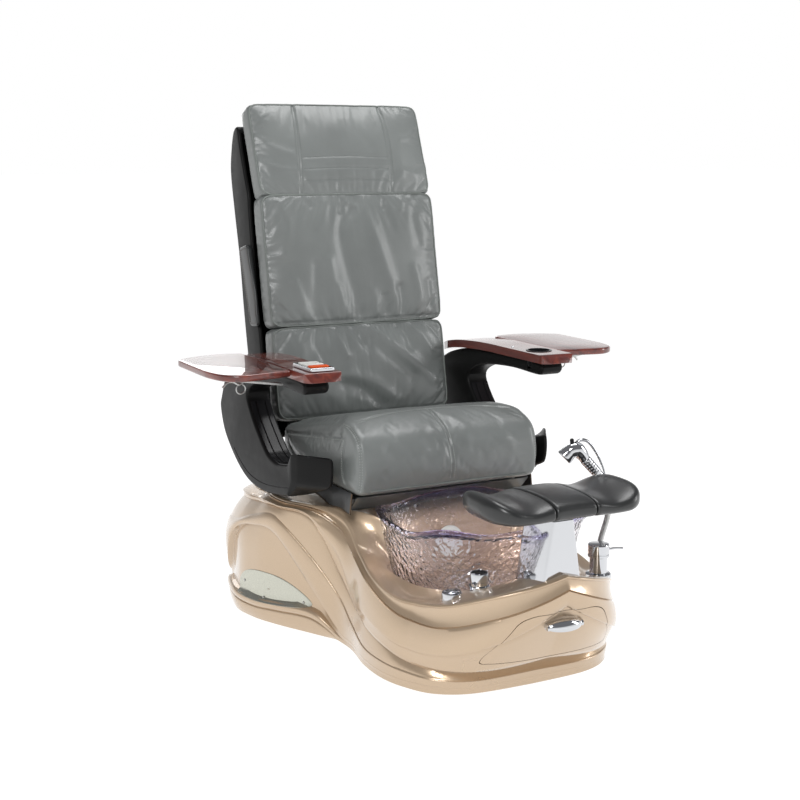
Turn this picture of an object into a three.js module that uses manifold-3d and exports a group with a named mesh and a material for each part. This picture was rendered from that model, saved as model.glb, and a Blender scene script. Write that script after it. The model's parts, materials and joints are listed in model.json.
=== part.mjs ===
// Pedicure spa chair: moulded foot-bath base, sliding massage seat, reclining back and folding trays.
// Units are millimetres, +Z is up, +X is the sitter's left and -Y is the front.
// The origin is on the floor, under the middle of the overall box.

import * as THREE from 'three';
import { mergeVertices } from 'three/addons/utils/BufferGeometryUtils.js';
import Module from 'manifold-3d';

const wasm = await Module();
wasm.setup();

// ---------- driving dimensions ----------

const fit = 0.3;
const wall = 9;
const floorGap = 3;
const seatHalf = 278;
const padHalf = 280;
const armInner = 326;
const armOuter = 398;
const woodInner = 306;
const woodOuter = 411;
const woodTop = 747;
const woodThick = 24;
const hingeX = 415;
const trayThick = 18;
const trayTopZ = 747;
const deckFlatZ = 352;
const bowlCentre = new THREE.Vector2(0, -290);
const bowlWell = { x: 232, y: 176 };
const bowlRim = { x: 262, y: 205, z: 385 };
const bowlSquareness = 0.68;
const pivot = { y: 405, z: 470 };
const frontLimit = -730;
const rearLimit = 730;
const stationCount = 44;

// Half of the base seen from above, from the middle of the back to the middle of the front.
// Each row: x, y, then the heights of the moulded lines on the side at that place:
// plinth, recess, lower groove, upper groove, ledge, panel line, channel line and deck rim.
const baseRows = [
  [0, 575, 45, 50, 58, 225, 285, 305, 325, 345],
  [250, 572, 45, 50, 58, 228, 288, 308, 328, 346],
  [392, 515, 43, 52, 64, 240, 300, 318, 334, 348],
  [448, 360, 40, 150, 232, 264, 318, 332, 344, 355],
  [438, 245, 38, 205, 272, 300, 330, 342, 350, 358],
  [400, 145, 44, 185, 264, 312, 338, 347, 353, 360],
  [344, 35, 46, 88, 140, 228, 322, 340, 350, 360],
  [302, -55, 10, 22, 36, 136, 188, 252, 312, 340],
  [300, -135, 8, 16, 26, 80, 122, 172, 258, 276],
  [318, -245, 8, 15, 24, 54, 100, 148, 226, 244],
  [318, -345, 8, 15, 24, 50, 84, 128, 196, 226],
  [296, -425, 8, 15, 24, 46, 68, 112, 178, 220],
  [250, -498, 8, 15, 24, 41, 60, 116, 180, 234],
  [160, -540, 8, 15, 24, 39, 57, 160, 222, 276],
  [0, -548, 8, 16, 25, 42, 60, 246, 286, 320],
];
// How far each moulded line stands out from the floor line, along the side.
const lineOut = [-4, 0, -14, 0, 4, -8, -5, 5, -7, -19];
// How far the same lines stand forward of the floor line at the middle of the front.
const noseOut = [0, 2, 3, 5, 9, -9, 70, 142, 152, 144];
// Height of the cove under the panel, as a share of the way from the ledge to the panel line.
const coveShare = 0.19;
// The rear half leans inwards above the shoulder, most at the top.
const shoulder = { low: 190, high: 345, lean: 72, from: 90, to: 340 };

// ---------- materials ----------

function finish(color, roughness, metalness) {
  return new THREE.MeshStandardMaterial({ color, roughness, metalness });
}

const gelcoat = finish(0xc9a98a, 0.25, 0.1);
const greyLeather = finish(0x666e6c, 0.5, 0);
const darkLeather = finish(0x26282a, 0.5, 0);
const blackPlastic = finish(0x141414, 0.45, 0);
const cherry = finish(0x541a10, 0.15, 0);
const chrome = finish(0xd8dadc, 0.08, 1);
const brushed = finish(0xc9c9bd, 0.35, 1);
const steel = finish(0x8d9196, 0.4, 0.9);
const clearGlass = new THREE.MeshStandardMaterial({
  color: 0xcfc4dd, roughness: 0.05, metalness: 0, transparent: true, opacity: 0.4,
});
const blackFoam = finish(0x202224, 0.5, 0);
const whitePlastic = finish(0xdcdcd6, 0.5, 0);
const orange = finish(0xd9481c, 0.4, 0);

// ---------- geometry helpers ----------

const chair = new THREE.Group();

function add(name, geometry, material) {
  const mesh = new THREE.Mesh(geometry, material);
  mesh.name = name;
  chair.add(mesh);
  return mesh;
}

function bare(geometry) {
  const copy = geometry.clone();
  copy.deleteAttribute('normal');
  copy.deleteAttribute('uv');
  return mergeVertices(copy, 1e-3);
}

function solid(geometry) {
  const merged = bare(geometry);
  const vertProperties = new Float32Array(merged.attributes.position.array);
  const triVerts = new Uint32Array(merged.index.array);
  return new wasm.Manifold(new wasm.Mesh({ numProp: 3, vertProperties, triVerts }));
}

function shaped(manifold) {
  const mesh = manifold.getMesh();
  const geometry = new THREE.BufferGeometry();
  const points = new Float32Array(mesh.vertProperties);
  geometry.setAttribute('position', new THREE.BufferAttribute(points, 3));
  geometry.setIndex(new THREE.BufferAttribute(new Uint32Array(mesh.triVerts), 1));
  return geometry;
}

function cut(geometry, ...tools) {
  return shaped(tools.reduce((body, tool) => body.subtract(solid(tool)), solid(geometry)));
}

function join(...geometries) {
  const [first, ...rest] = geometries;
  return shaped(rest.reduce((body, next) => body.add(solid(next)), solid(first)));
}

// A piece standing on the housing: cut to its surface with a small gap, keeping the part above.
function restingOn(geometry, support) {
  const raised = solid(support.clone().translate(0, 0, fit));
  const pieces = solid(geometry).subtract(raised).decompose();
  pieces.sort((a, b) => b.volume() - a.volume());
  return shaped(pieces[0]);
}

function common(a, b) {
  return shaped(solid(a).intersect(solid(b)));
}

function block(x0, x1, y0, y1, z0, z1) {
  const geometry = new THREE.BoxGeometry(x1 - x0, y1 - y0, z1 - z0);
  return geometry.translate((x0 + x1) / 2, (y0 + y1) / 2, (z0 + z1) / 2);
}

function outline(points) {
  return new THREE.Shape(points.map(([a, b]) => new THREE.Vector2(a, b)));
}

function smoothOutline(points, count) {
  const path = new THREE.CatmullRomCurve3(
    points.map(([a, b]) => new THREE.Vector3(a, b, 0)), true, 'centripetal');
  return outline(path.getPoints(count).slice(0, -1).map((p) => [p.x, p.y]));
}

// A flat shape drawn in X and Y, given thickness upwards.
function plate(shape, z0, z1, segments = 12) {
  const options = { depth: z1 - z0, bevelEnabled: false, curveSegments: segments };
  return new THREE.ExtrudeGeometry(shape, options).translate(0, 0, z0);
}

// A side view drawn in Y and Z, given width along X.
function sideways(shape, x0, x1, segments = 12) {
  const options = { depth: x1 - x0, bevelEnabled: false, curveSegments: segments };
  const turn = new THREE.Matrix4().makeBasis(
    new THREE.Vector3(0, 1, 0), new THREE.Vector3(0, 0, 1), new THREE.Vector3(1, 0, 0));
  return new THREE.ExtrudeGeometry(shape, options).applyMatrix4(turn).translate(x0, 0, 0);
}

// A front view drawn in X and Z, given depth along Y.
function facing(shape, y0, y1, segments = 12) {
  const options = { depth: y1 - y0, bevelEnabled: false, curveSegments: segments };
  const turn = new THREE.Matrix4().makeBasis(
    new THREE.Vector3(-1, 0, 0), new THREE.Vector3(0, 0, 1), new THREE.Vector3(0, 1, 0));
  const geometry = new THREE.ExtrudeGeometry(shape, options).applyMatrix4(turn);
  return geometry.translate(0, y0, 0);
}

function rod(from, to, r0, r1 = r0, sides = 20) {
  const a = new THREE.Vector3(...from);
  const b = new THREE.Vector3(...to);
  const way = b.clone().sub(a);
  const geometry = new THREE.CylinderGeometry(r1, r0, way.length(), sides);
  const turn = new THREE.Quaternion().setFromUnitVectors(
    new THREE.Vector3(0, 1, 0), way.clone().normalize());
  const middle = a.add(b).multiplyScalar(0.5);
  return geometry.applyQuaternion(turn).translate(middle.x, middle.y, middle.z);
}

function tube(points, radius, sides, steps) {
  const path = new THREE.CatmullRomCurve3(points.map((p) => new THREE.Vector3(...p)));
  const section = new THREE.Shape();
  section.absarc(0, 0, radius, 0, Math.PI * 2);
  const options = { steps, bevelEnabled: false, extrudePath: path, curveSegments: sides };
  return new THREE.ExtrudeGeometry(section, options);
}

// Rings of equal length joined into a skin. A closed stack also joins the last ring to the first.
function skin(rings, closed) {
  const size = rings[0].length;
  const points = rings.flat().flatMap((p) => [p.x, p.y, p.z]);
  const index = [];
  const last = closed ? rings.length : rings.length - 1;
  for (let i = 0; i < last; i += 1) {
    const here = i * size;
    const next = ((i + 1) % rings.length) * size;
    for (let j = 0; j < size; j += 1) {
      const k = (j + 1) % size;
      index.push(here + j, here + k, next + k, here + j, next + k, next + j);
    }
  }
  if (!closed) {
    const centre = (ring) => ring.reduce((s, p) => s.add(p), new THREE.Vector3()).divideScalar(size);
    const ends = [centre(rings[0]), centre(rings[rings.length - 1])];
    ends.forEach((p) => points.push(p.x, p.y, p.z));
    const base = rings.length * size;
    const top = (rings.length - 1) * size;
    for (let j = 0; j < size; j += 1) {
      const k = (j + 1) % size;
      index.push(base, k, j);
      index.push(base + 1, top + j, top + k);
    }
  }
  const geometry = new THREE.BufferGeometry();
  geometry.setAttribute('position', new THREE.Float32BufferAttribute(points, 3));
  geometry.setIndex(index);
  return geometry;
}

function mirrored(geometry) {
  const copy = bare(geometry);
  copy.scale(-1, 1, 1);
  const index = copy.index.array;
  for (let i = 0; i < index.length; i += 3) {
    [index[i + 1], index[i + 2]] = [index[i + 2], index[i + 1]];
  }
  return copy;
}

function pair(name, geometry, material) {
  add(`${name}_right`, mirrored(geometry), material);
  add(`${name}_left`, geometry, material);
}

// A point on the bowl's slightly squared oval.
function ovalPoint(turn, rx, ry, z) {
  const squared = (v) => Math.sign(v) * Math.abs(v) ** bowlSquareness;
  return new THREE.Vector3(
    bowlCentre.x + rx * squared(Math.cos(turn)), bowlCentre.y + ry * squared(Math.sin(turn)), z);
}

// ---------- base housing ----------

// All columns of the base rows at a place t, 0 at the back's middle and 1 at the front's middle.
function baseRow(t) {
  const place = Math.min(t, 1) * (baseRows.length - 1);
  const i = Math.min(Math.floor(place), baseRows.length - 2);
  const k = place - i;
  const at = (n) => baseRows[Math.max(0, Math.min(baseRows.length - 1, n))];
  const [a, b, c, d] = [at(i - 1), at(i), at(i + 1), at(i + 2)];
  return b.map((_, n) => {
    const m0 = (c[n] - a[n]) / 2;
    const m1 = (d[n] - b[n]) / 2;
    const k2 = k * k;
    const k3 = k2 * k;
    return (2 * k3 - 3 * k2 + 1) * b[n] + (k3 - 2 * k2 + k) * m0 + (3 * k2 - 2 * k3) * c[n] + (k3 - k2) * m1;
  });
}

// How much of the nose's forward bulge a place at x takes: all of it at the middle, none at the sides.
function noseShare(x, y) {
  const side = Math.max(0, 1 - (x / 290) ** 2);
  return y < -400 ? side : 0;
}

// How far the rear half leans inwards at a height.
function rearLean(y, z) {
  const rise = Math.max(0, (z - shoulder.low) / (shoulder.high - shoulder.low));
  return shoulder.lean * rise * rise * THREE.MathUtils.smoothstep(y, shoulder.from, shoulder.to);
}

// The closed section of the housing at one place around its side.
function housingSection(t, sign) {
  const row = baseRow(t);
  const [x, y, ...lines] = row;
  const cove = lines[4] + coveShare * (lines[5] - lines[4]);
  const heights = [...lines.slice(0, 5), cove, ...lines.slice(5)];
  const ahead = baseRow(Math.min(1, t + 0.01));
  const behind = baseRow(Math.max(0, t - 0.01));
  const normal = new THREE.Vector2(-(ahead[1] - behind[1]), ahead[0] - behind[0]).normalize();
  const share = noseShare(x, y);
  const levels = [floorGap, ...heights];
  const section = levels.map((z, n) => {
    const nose = share * noseOut[n];
    const out = lineOut[n] * (1 - share) - rearLean(y, z);
    return new THREE.Vector3(x + normal.x * out, y + normal.y * out - nose, z);
  });
  const rim = section[section.length - 1];
  const turn = Math.atan2(rim.y - bowlCentre.y, rim.x);
  const wellAt = (grow, z) => ovalPoint(turn, bowlWell.x + grow, bowlWell.y + grow, z);
  const rear = THREE.MathUtils.smoothstep(rim.y, -80, 60);
  const wellZ = 240;
  const middle = rim.clone().lerp(wellAt(0, wellZ), 0.55 + 0.3 * rear);
  middle.z = THREE.MathUtils.lerp((rim.z * 0.75 + wellZ * 0.25) - 4, deckFlatZ - 4, rear);
  const inside = (p, depth, drop) => new THREE.Vector3(
    p.x - normal.x * depth, p.y - normal.y * depth, Math.max(floorGap, p.z - drop));
  section.push(middle, wellAt(6, wellZ), wellAt(6, wellZ - wall));
  section.push(new THREE.Vector3(middle.x, middle.y, middle.z - wall - 3));
  section.push(inside(rim, 26, wall + 10), inside(section[4], 44, 0), inside(section[0], 22, 0));
  section.forEach((p) => { p.x *= sign; });
  return section;
}

function housing() {
  const rings = [];
  for (let i = 0; i < stationCount; i += 1) {
    const t = (i / stationCount) * 2;
    rings.push(t <= 1 ? housingSection(t, 1) : housingSection(2 - t, -1));
  }
  return skin(rings, true);
}

// The front drawer's outline, wider at the bottom, with rounded corners.
function drawerOutline(grow) {
  const low = 100 - grow;
  const high = 232 + grow;
  const wide = 182 + grow;
  const narrow = 92 + grow;
  const bend = 26;
  const shape = new THREE.Shape();
  shape.moveTo(-wide + bend, low);
  shape.lineTo(wide - bend, low);
  shape.quadraticCurveTo(wide + 4, low, wide - 6, low + bend);
  shape.lineTo(narrow + bend, high - 14);
  shape.quadraticCurveTo(narrow + 8, high, narrow - 10, high);
  shape.lineTo(-narrow + 10, high);
  shape.quadraticCurveTo(-narrow - 8, high, -narrow - bend, high - 14);
  shape.lineTo(-wide + 6, low + bend);
  shape.quadraticCurveTo(-wide - 4, low, -wide + bend, low);
  return shape;
}

const fullHousing = housing();
const drawerHole = facing(drawerOutline(1.5), -760, -500, 4);
add('base_housing', cut(fullHousing, drawerHole), gelcoat);

const drawerFront = common(fullHousing, facing(drawerOutline(0), -760, -500, 4));
add('drawer_front', drawerFront, gelcoat);

const drawerBox = cut(block(-110, 110, -541, -400, 106, 180), block(-104, 104, -535, -406, 112, 200));
add('drawer_box', drawerBox, whitePlastic);

// Cup pull on the drawer: a half shell, open underneath.
function cupPull(y, z) {
  const outer = new THREE.SphereGeometry(1, 20, 10).scale(52, 30, 22).translate(0, y, z);
  const inner = new THREE.SphereGeometry(1, 20, 10).scale(46, 25, 18).translate(0, y, z - 4);
  const below = block(-80, 80, y - 60, y + 60, z - 60, z - 9);
  const ahead = fullHousing.clone().translate(0, -fit, 0);
  const pieces = solid(cut(outer, inner, below)).subtract(solid(ahead)).decompose();
  pieces.sort((a, b) => a.boundingBox().min[1] - b.boundingBox().min[1]);
  return shaped(pieces[0]);
}
add('drawer_pull', cupPull(-676, 196), chrome);

// ---------- chassis, feet and services inside the base ----------

const chassisOuter = outline([[-200, 480], [-200, -440], [200, -440], [200, 480]]);
chassisOuter.holes.push(outline([[-165, 445], [165, 445], [165, -405], [-165, -405]]));
const chassisRails = plate(chassisOuter, 14, 44);
const crossRails = [40, 260].map((y) => block(-170, 170, y, y + 36, 14, 44));
const footPlaces = [[182, 462], [-182, 462], [182, -422], [-182, -422]];
const feet = footPlaces.map(([x, y]) => rod([x, y, 0], [x, y, 16], 24, 20, 20));
add('chassis_frame', join(chassisRails, ...crossRails, ...feet), steel);

add('jet_pump', join(
  rod([-60, 80, 100], [60, 80, 100], 46, 46, 20),
  block(-40, 40, 45, 115, 44.3, 70),
), blackPlastic);
add('control_box', block(-90, 90, 310, 420, 44.3, 130), blackPlastic);
add('drain_pipe', tube([[0, bowlCentre.y, 172], [0, -284, 130], [0, -200, 84], [30, -80, 76], [110, 60, 70],
  [120, 300, 66], [120, 460, 64], [120, 518, 64]], 17, 10, 26), whitePlastic);

// Brushed leaf-shaped plates, bent to the recess low on both flanks.
const badgeSide = smoothOutline([[336, 88], [300, 124], [240, 140], [160, 138], [96, 116], [48, 80],
  [100, 66], [210, 58], [316, 62]], 30);
function badge(x0, x1) {
  const proud = common(fullHousing.clone().scale(1.008, 1, 1), sideways(badgeSide, x0, x1));
  return cut(proud, fullHousing.clone().scale(1.0015, 1, 1));
}
add('flank_badge_right', badge(-480, -300), brushed);
add('flank_badge_left', badge(300, 480), brushed);

// ---------- foot bath ----------

// The bowl's wall as rings from the foot, up the outside, over the rim and down the inside.
function bowl() {
  const count = 40;
  const rings = [];
  const outside = [[0.70, 196], [0.80, 200], [0.86, 232], [0.91, 290], [0.95, 340], [0.99, 374]];
  const ringAt = (share, z, inset, wave) => Array.from({ length: count }, (_, i) => {
    const turn = (i / count) * Math.PI * 2;
    const height = z + wave * 9 * Math.sin(5 * turn + 0.6);
    return ovalPoint(turn, bowlRim.x * share - inset, bowlRim.y * share - inset, height);
  });
  outside.forEach(([share, z], n) => rings.push(ringAt(share, z, 0, n === 5 ? 1 : 0)));
  rings.push(ringAt(1.02, bowlRim.z, 0, 1));
  rings.push(ringAt(1.0, bowlRim.z + 7, 4, 1));
  rings.push(ringAt(0.96, bowlRim.z, 5, 1));
  [...outside].reverse().slice(1, 5).forEach(([share, z]) => rings.push(ringAt(share, z + 3, 8, 0)));
  rings.push(ringAt(0.70, 206, 10, 0));
  return skin(rings, false);
}
const drainHole = rod([0, bowlCentre.y, 180], [0, bowlCentre.y, 230], 24, 24, 20);
add('glass_bowl', cut(bowl(), drainHole), clearGlass);

// A turned piece standing in the middle of the bowl.
function turned(profile) {
  const points = profile.map(([r, z]) => new THREE.Vector2(r, z));
  return new THREE.LatheGeometry(points, 24).rotateX(Math.PI / 2).translate(0, bowlCentre.y, 0);
}
const drainProfile = [[19, 173], [23.5, 173], [23.5, 207], [30, 207], [30, 210], [19, 210], [19, 173]];
add('drain_fitting', turned(drainProfile), chrome);
const stopperProfile = [[0, 190], [5, 190], [5, 210.6], [24, 210.6], [24, 213], [18, 217], [0, 219]];
add('drain_stopper', turned(stopperProfile), chrome);

const jetAt = [0, -126, 268];
const jetTo = [0, -140, 271];
add('jet_cover', rod(jetAt, jetTo, 38, 34, 24), gelcoat);

// ---------- deck controls ----------

const knobAt = new THREE.Vector3(-128, -500, 260);
const buttonAt = new THREE.Vector3(-194, -482, 243);
const mixerAt = new THREE.Vector3(196, -540, 252);
const hoseAt = new THREE.Vector3(222, -500, 238);

function upright(at, r, z0, z1, r1 = r, sides = 24) {
  return rod([at.x, at.y, at.z + z0], [at.x, at.y, at.z + z1], r, r1, sides);
}

const ringBody = cut(upright(buttonAt, 25, -14, 8, 22), upright(buttonAt, 17, -20, 9));
add('air_button_ring', restingOn(ringBody, fullHousing), chrome);
add('air_button', upright(buttonAt, 16.4, 7, 11, 15.4), chrome);
add('knob_collar', restingOn(upright(knobAt, 26, -14, 4, 24), fullHousing), chrome);
add('diverter_knob', upright(knobAt, 22, 4.4, 36, 23), chrome);

const mixerFoot = restingOn(upright(mixerAt, 33, -14, 9, 30), fullHousing);
add('mixer_body', join(mixerFoot, upright(mixerAt, 22, 6, 50)), chrome);
const leverFrom = [mixerAt.x + 20, mixerAt.y, mixerAt.z + 62];
add('mixer_lever', join(
  upright(mixerAt, 27, 50.6, 84),
  rod(leverFrom, [mixerAt.x + 68, mixerAt.y - 8, mixerAt.z + 64], 3, 2.4, 10),
), chrome);

// ---------- hand shower on its self-supporting metal hose ----------

const hoseTop = [231, -512, 486];
const hoseBottom = [hoseAt.x, hoseAt.y, hoseAt.z];
const hoseRoute = [hoseBottom, [226, -502, 320], [242, -511, 396], [243, -514, 448], hoseTop];
add('metal_hose', tube(hoseRoute, 7, 10, 22), steel);
const gripStart = [227.6, -511.6, 489.5];
const gripEnd = [172, -502, 549];
add('shower_handle', rod(gripStart, gripEnd, 9, 14, 18), chrome);
const headFrom = [171.6, -501.9, 549.4];
const headSolid = join(
  new THREE.SphereGeometry(19, 18, 12).translate(150, -496, 574),
  rod([150, -496, 574], [122, -486, 552], 16, 21, 20),
);
add('shower_head', cut(headSolid, rod([231.2, -512.2, 485.6], headFrom, 16, 16, 18)), chrome);
// The trigger stands clear of the head by its travel of 2 mm and a little more.
add('shower_trigger', rod([140, -494, 595], [139, -494, 602], 5, 4, 12), blackPlastic);

// ---------- foot rest ----------

const restHalf = 112;
const restY = frontLimit + restHalf;
function tapered(x0, x1, y0, y1, z0, z1, taper) {
  const ring = (dx, z) => [
    new THREE.Vector3(x0 + dx, y0, z), new THREE.Vector3(x1 - dx, y0, z),
    new THREE.Vector3(x1 - dx, y1, z), new THREE.Vector3(x0 + dx, y1, z),
  ];
  return skin([ring(0, z0), ring(taper, z1)], false);
}
const pedestalOuter = tapered(-56, 56, -672, -546, 276, 449, 26);
const pedestalInner = tapered(-51, 51, -667, -551, 274, 450, 26);
add('footrest_pedestal', restingOn(cut(pedestalOuter, pedestalInner), fullHousing), chrome);
const postColumn = block(-18, 18, -640, -604, 350, 456);
const postPlate = block(-150, 150, -662, -574, 452.3, 458);
add('footrest_post', join(postColumn, postPlate), steel);

const restReach = 216;
// Pad profile across the chair: raised tips, two leg valleys and a raised middle.
function restTop(x) {
  const across = Math.abs(x) / restReach;
  const valley = 12 * Math.exp(-(((across - 0.52) / 0.2) ** 2));
  const tip = 10 * Math.exp(-(((across - 0.9) / 0.14) ** 2));
  return 514 - valley + tip;
}
function restPad(x0, x1, count) {
  const rings = [];
  for (let i = 0; i <= count; i += 1) {
    const x = x0 + ((x1 - x0) * i) / count;
    const edge = Math.max(0, (Math.abs(x) - 150) / (restReach - 150));
    const half = restHalf * Math.sqrt(Math.max(0.12, 1 - edge * edge * 0.9));
    const top = restTop(x);
    const low = 458.6 + 14 * edge * edge;
    const section = [[-0.86, 0], [0.86, 0], [1, 0.35], [0.93, 0.75], [0.6, 1], [-0.6, 1], [-0.97, 0.75],
      [-1, 0.35]];
    rings.push(section.map(([a, b]) => new THREE.Vector3(x, restY + half * a, low + (top - low) * b)));
  }
  return skin(rings, false);
}
add('footrest_pad_right', restPad(-restReach + 2, -58, 9), blackFoam);
add('footrest_pad_middle', restPad(-55, 55, 6), blackFoam);
add('footrest_pad_left', restPad(58, restReach - 2, 9), blackFoam);

// ---------- seat slide, frame and cushion ----------

pair('seat_rail', block(160, 184, 60, 500, deckFlatZ + fit, deckFlatZ + 18), steel);
const seatPan = cut(block(-258, 258, -40, 384, 388, 400), block(-28, 28, 300, 420, 370, 410));
const runners = [-1, 1].map((s) => block(172 * s - 16, 172 * s + 16, 80, 384, deckFlatZ + 18.6, 390));
const armTie = block(-armInner + fit, armInner - fit, 150, 300, 388, 400);
add('seat_frame', join(seatPan, ...runners, armTie), steel);

const seatSide = smoothOutline([[-118, 418], [-136, 450], [-138, 510], [-122, 560], [-80, 590], [-20, 600],
  [120, 578], [300, 540], [372, 524], [384, 490], [378, 440], [350, 414], [120, 412], [-60, 410]], 40);
add('seat_cushion', sideways(seatSide, -seatHalf, seatHalf), greyLeather);
const apronSide = outline([[-88, 404], [-54, 362], [-44, 366], [-72, 404]]);
add('seat_apron', sideways(apronSide, -262, 262), darkLeather);

// ---------- arms, arm tops, trays ----------

// Side view of an arm: a C open to the front, with its top bar and its foot.
const armSide = smoothOutline([[488, 680], [530, 648], [562, 594], [575, 556], [545, 488], [481, 433],
  [412, 394], [338, 371], [245, 366], [150, 375], [41, 394], [-112, 430], [-148, 452], [-155, 500],
  [-136, 516], [-60, 503], [40, 482], [110, 469], [150, 467], [205, 481], [262, 522], [310, 565],
  [348, 612], [345, 638], [300, 662], [230, 678], [100, 687], [-30, 684], [-60, 690], [-66, 710],
  [-40, 719], [100, 720], [250, 719], [330, 714], [400, 705]], 96);
const armFoot = { from: 60, tip: -155, inner: -88, outer: 30, top: 600 };
// The arm's foot is drawn back on its outer side, so its front end slants across.
function slantFoot(geometry) {
  const place = geometry.attributes.position;
  for (let i = 0; i < place.count; i += 1) {
    const y = place.getY(i);
    if (place.getZ(i) < armFoot.top && y < armFoot.from) {
      const end = place.getX(i) > (armInner + armOuter) / 2 ? armFoot.outer : armFoot.inner;
      const share = (armFoot.from - end) / (armFoot.from - armFoot.tip);
      place.setY(i, armFoot.from + (y - armFoot.from) * share);
    }
  }
  return geometry;
}
const armBody = slantFoot(sideways(armSide, armInner, armOuter));
const cupAt = [358, 0];
const cupTool = rod([cupAt[0], cupAt[1], 702], [cupAt[0], cupAt[1], 800], 33, 33, 28);
add('arm_right', mirrored(armBody), blackPlastic);
add('arm_left', cut(armBody, cupTool), blackPlastic);

// Wooden arm top: flat over the front, easing down towards the back.
const woodLine = [[-109, 0], [200, 0], [300, -4], [400, -13], [500, -33]];
const woodSide = outline([
  ...woodLine.map(([y, drop]) => [y, woodTop + drop]),
  ...[...woodLine].reverse().map(([y, drop]) => [y, woodTop - woodThick + drop + 0.2]),
].reverse());
const woodPlan = outline([[woodInner + 27, -109], [woodOuter - 14, -109], [woodOuter, -92], [woodOuter, 440],
  [woodOuter - 20, 500], [woodInner + 20, 500], [woodInner, 440], [woodInner, -98]]);
const woodBody = common(sideways(woodSide, woodInner, woodOuter), plate(woodPlan, 600, 900));
add('arm_top_right', mirrored(woodBody), cherry);
add('arm_top_left', cut(woodBody, cupTool), cherry);

const trayPlan = outline([[hingeX, -15], [440, -22], [500, -36], [556, -42], [598, -12], [616, 50],
  [620, 120], [620, 276], [598, 312], [560, 335], [500, 354], [440, 348], [hingeX, 335]]);
pair('tray', plate(trayPlan, trayTopZ - trayThick, trayTopZ), cherry);

// Tray support: a bracket under the arm, a strut that folds with the tray, and its release lever.
const strutPivot = { x: 408.5, z: 700 };
const strutAngle = THREE.MathUtils.degToRad(8.5);
const strutReach = 148;
const strutBody = cut(
  block(-6, strutReach, -14, 14, -2.5, 2.5),
  block(24, strutReach - 20, -7, 7, -5, 5),
);
strutBody.rotateY(-strutAngle);
strutBody.translate(strutPivot.x + 8, 60, strutPivot.z);
pair('tray_strut', strutBody, steel);
const leverPath = [[500, 100, 722], [502, 100, 706], [516, 100, 700], [530, 100, 708], [546, 100, 706],
  [560, 100, 694]];
pair('tray_release', tube(leverPath, 3, 8, 16), steel);

// Keypad on the sitter's right arm.
const keyPlaces = [-54, -22, 10];
add('keypad', cut(
  block(-388, -318, -84, 38, woodTop + fit, 758),
  ...keyPlaces.map((y) => block(-380, -326, y - 11, y + 11, 752, 770)),
), chrome);
const keyNames = ['power_button', 'massage_button', 'recline_button'];
keyPlaces.forEach((y, i) => {
  const button = block(-379.4, -326.6, y - 10.4, y + 10.4, 754.4, 760.5);
  add(keyNames[i], button, i === 0 ? orange : whitePlastic);
});

// ---------- reclining back ----------

// Front line of the pads, from the top down, and the pads hung on it.
const backShellSide = smoothOutline([[668, 1376], [700, 1366], [722, 1310], [rearLimit, 1240], [706, 1130],
  [668, 980], [640, 820], [600, 640], [560, 520], [520, 470], [470, 468], [474, 540], [512, 760], [530, 820],
  [560, 980], [584, 1130], [590, 1180], [616, 1240], [648, 1320]], 60);
const shellOuter = sideways(backShellSide, -292, 292);
const shellInside = smoothOutline([[600, 1366], [676, 1360], [706, 1306], [716, 1240], [694, 1130],
  [656, 982], [628, 822], [588, 644], [548, 528], [516, 482], [440, 478], [420, 560], [440, 720], [470, 940],
  [500, 1130], [520, 1190], [560, 1300]], 60);
add('back_shell', cut(shellOuter, sideways(shellInside, -282, 282)), blackPlastic);

function padBody(topY, topZ, lowY, lowZ, thick, half) {
  const way = new THREE.Vector2(topY - lowY, topZ - lowZ).normalize();
  const back = new THREE.Vector2(way.y, -way.x).multiplyScalar(thick);
  return sideways(smoothOutline([
    [lowY + way.x * 14, lowZ + way.y * 14], [topY - way.x * 14, topZ - way.y * 14],
    [topY + back.x * 0.2, topZ + back.y * 0.2], [topY + back.x * 0.8, topZ + back.y * 0.8],
    [topY + back.x - way.x * 10, topZ + back.y - way.y * 10],
    [lowY + back.x + way.x * 10, lowZ + back.y + way.y * 10],
    [lowY + back.x * 0.8, lowZ + back.y * 0.8], [lowY + back.x * 0.2, lowZ + back.y * 0.2],
  ].reverse(), 24), -half, half);
}
add('head_pillow', padBody(614, 1450, 510, 1190, 66, 276), greyLeather);
add('middle_pad', padBody(505, 1164, 438, 806, 70, padHalf), greyLeather);
add('lower_pad', padBody(437, 794, 388, 532, 66, padHalf), greyLeather);

const pocketBody = sideways(outline([[498, 800], [560, 792], [630, 1020], [560, 1036]]), 292.6, 304);
pair('side_pocket', pocketBody, darkLeather);

// Steel back frame with two guide rails for the massage carriage.
const spine = (y, z) => [y + 6, z];
const frameSide = outline([spine(478, 520), spine(602, 1150), spine(616, 1150), spine(492, 520)].reverse());
const uprights = [-1, 1].map((s) => sideways(frameSide, s * 210 - 12, s * 210 + 12));
const crossBars = [[498, 600], [596, 1100]].map(([y, z]) => block(-205, 205, y + 2, y + 12, z, z + 30));
const earSide = outline([[pivot.y - 12, pivot.z - 12], [pivot.y + 16, pivot.z - 16], [506, 524], [496, 538]]);
const pivotEars = [-1, 1].map((s) => sideways(earSide, s * 210 - 12, s * 210 + 12));
const pivotBar = rod([-222, pivot.y, pivot.z], [222, pivot.y, pivot.z], 9, 9, 16);
const leverArm = block(-14, 14, pivot.y - 6, pivot.y + 6, 358, pivot.z);
add('back_frame', join(...uprights, ...crossBars, ...pivotEars, pivotBar, leverArm), steel);

add('massage_carriage', block(-150, 150, 586, 606, 836, 900), blackPlastic);
pair('massage_roller', rod([60, 0, 0], [92, 0, 0], 25, 25, 20).translate(0, 558, 868), whitePlastic);

// ---------- recline drive ----------

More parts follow.
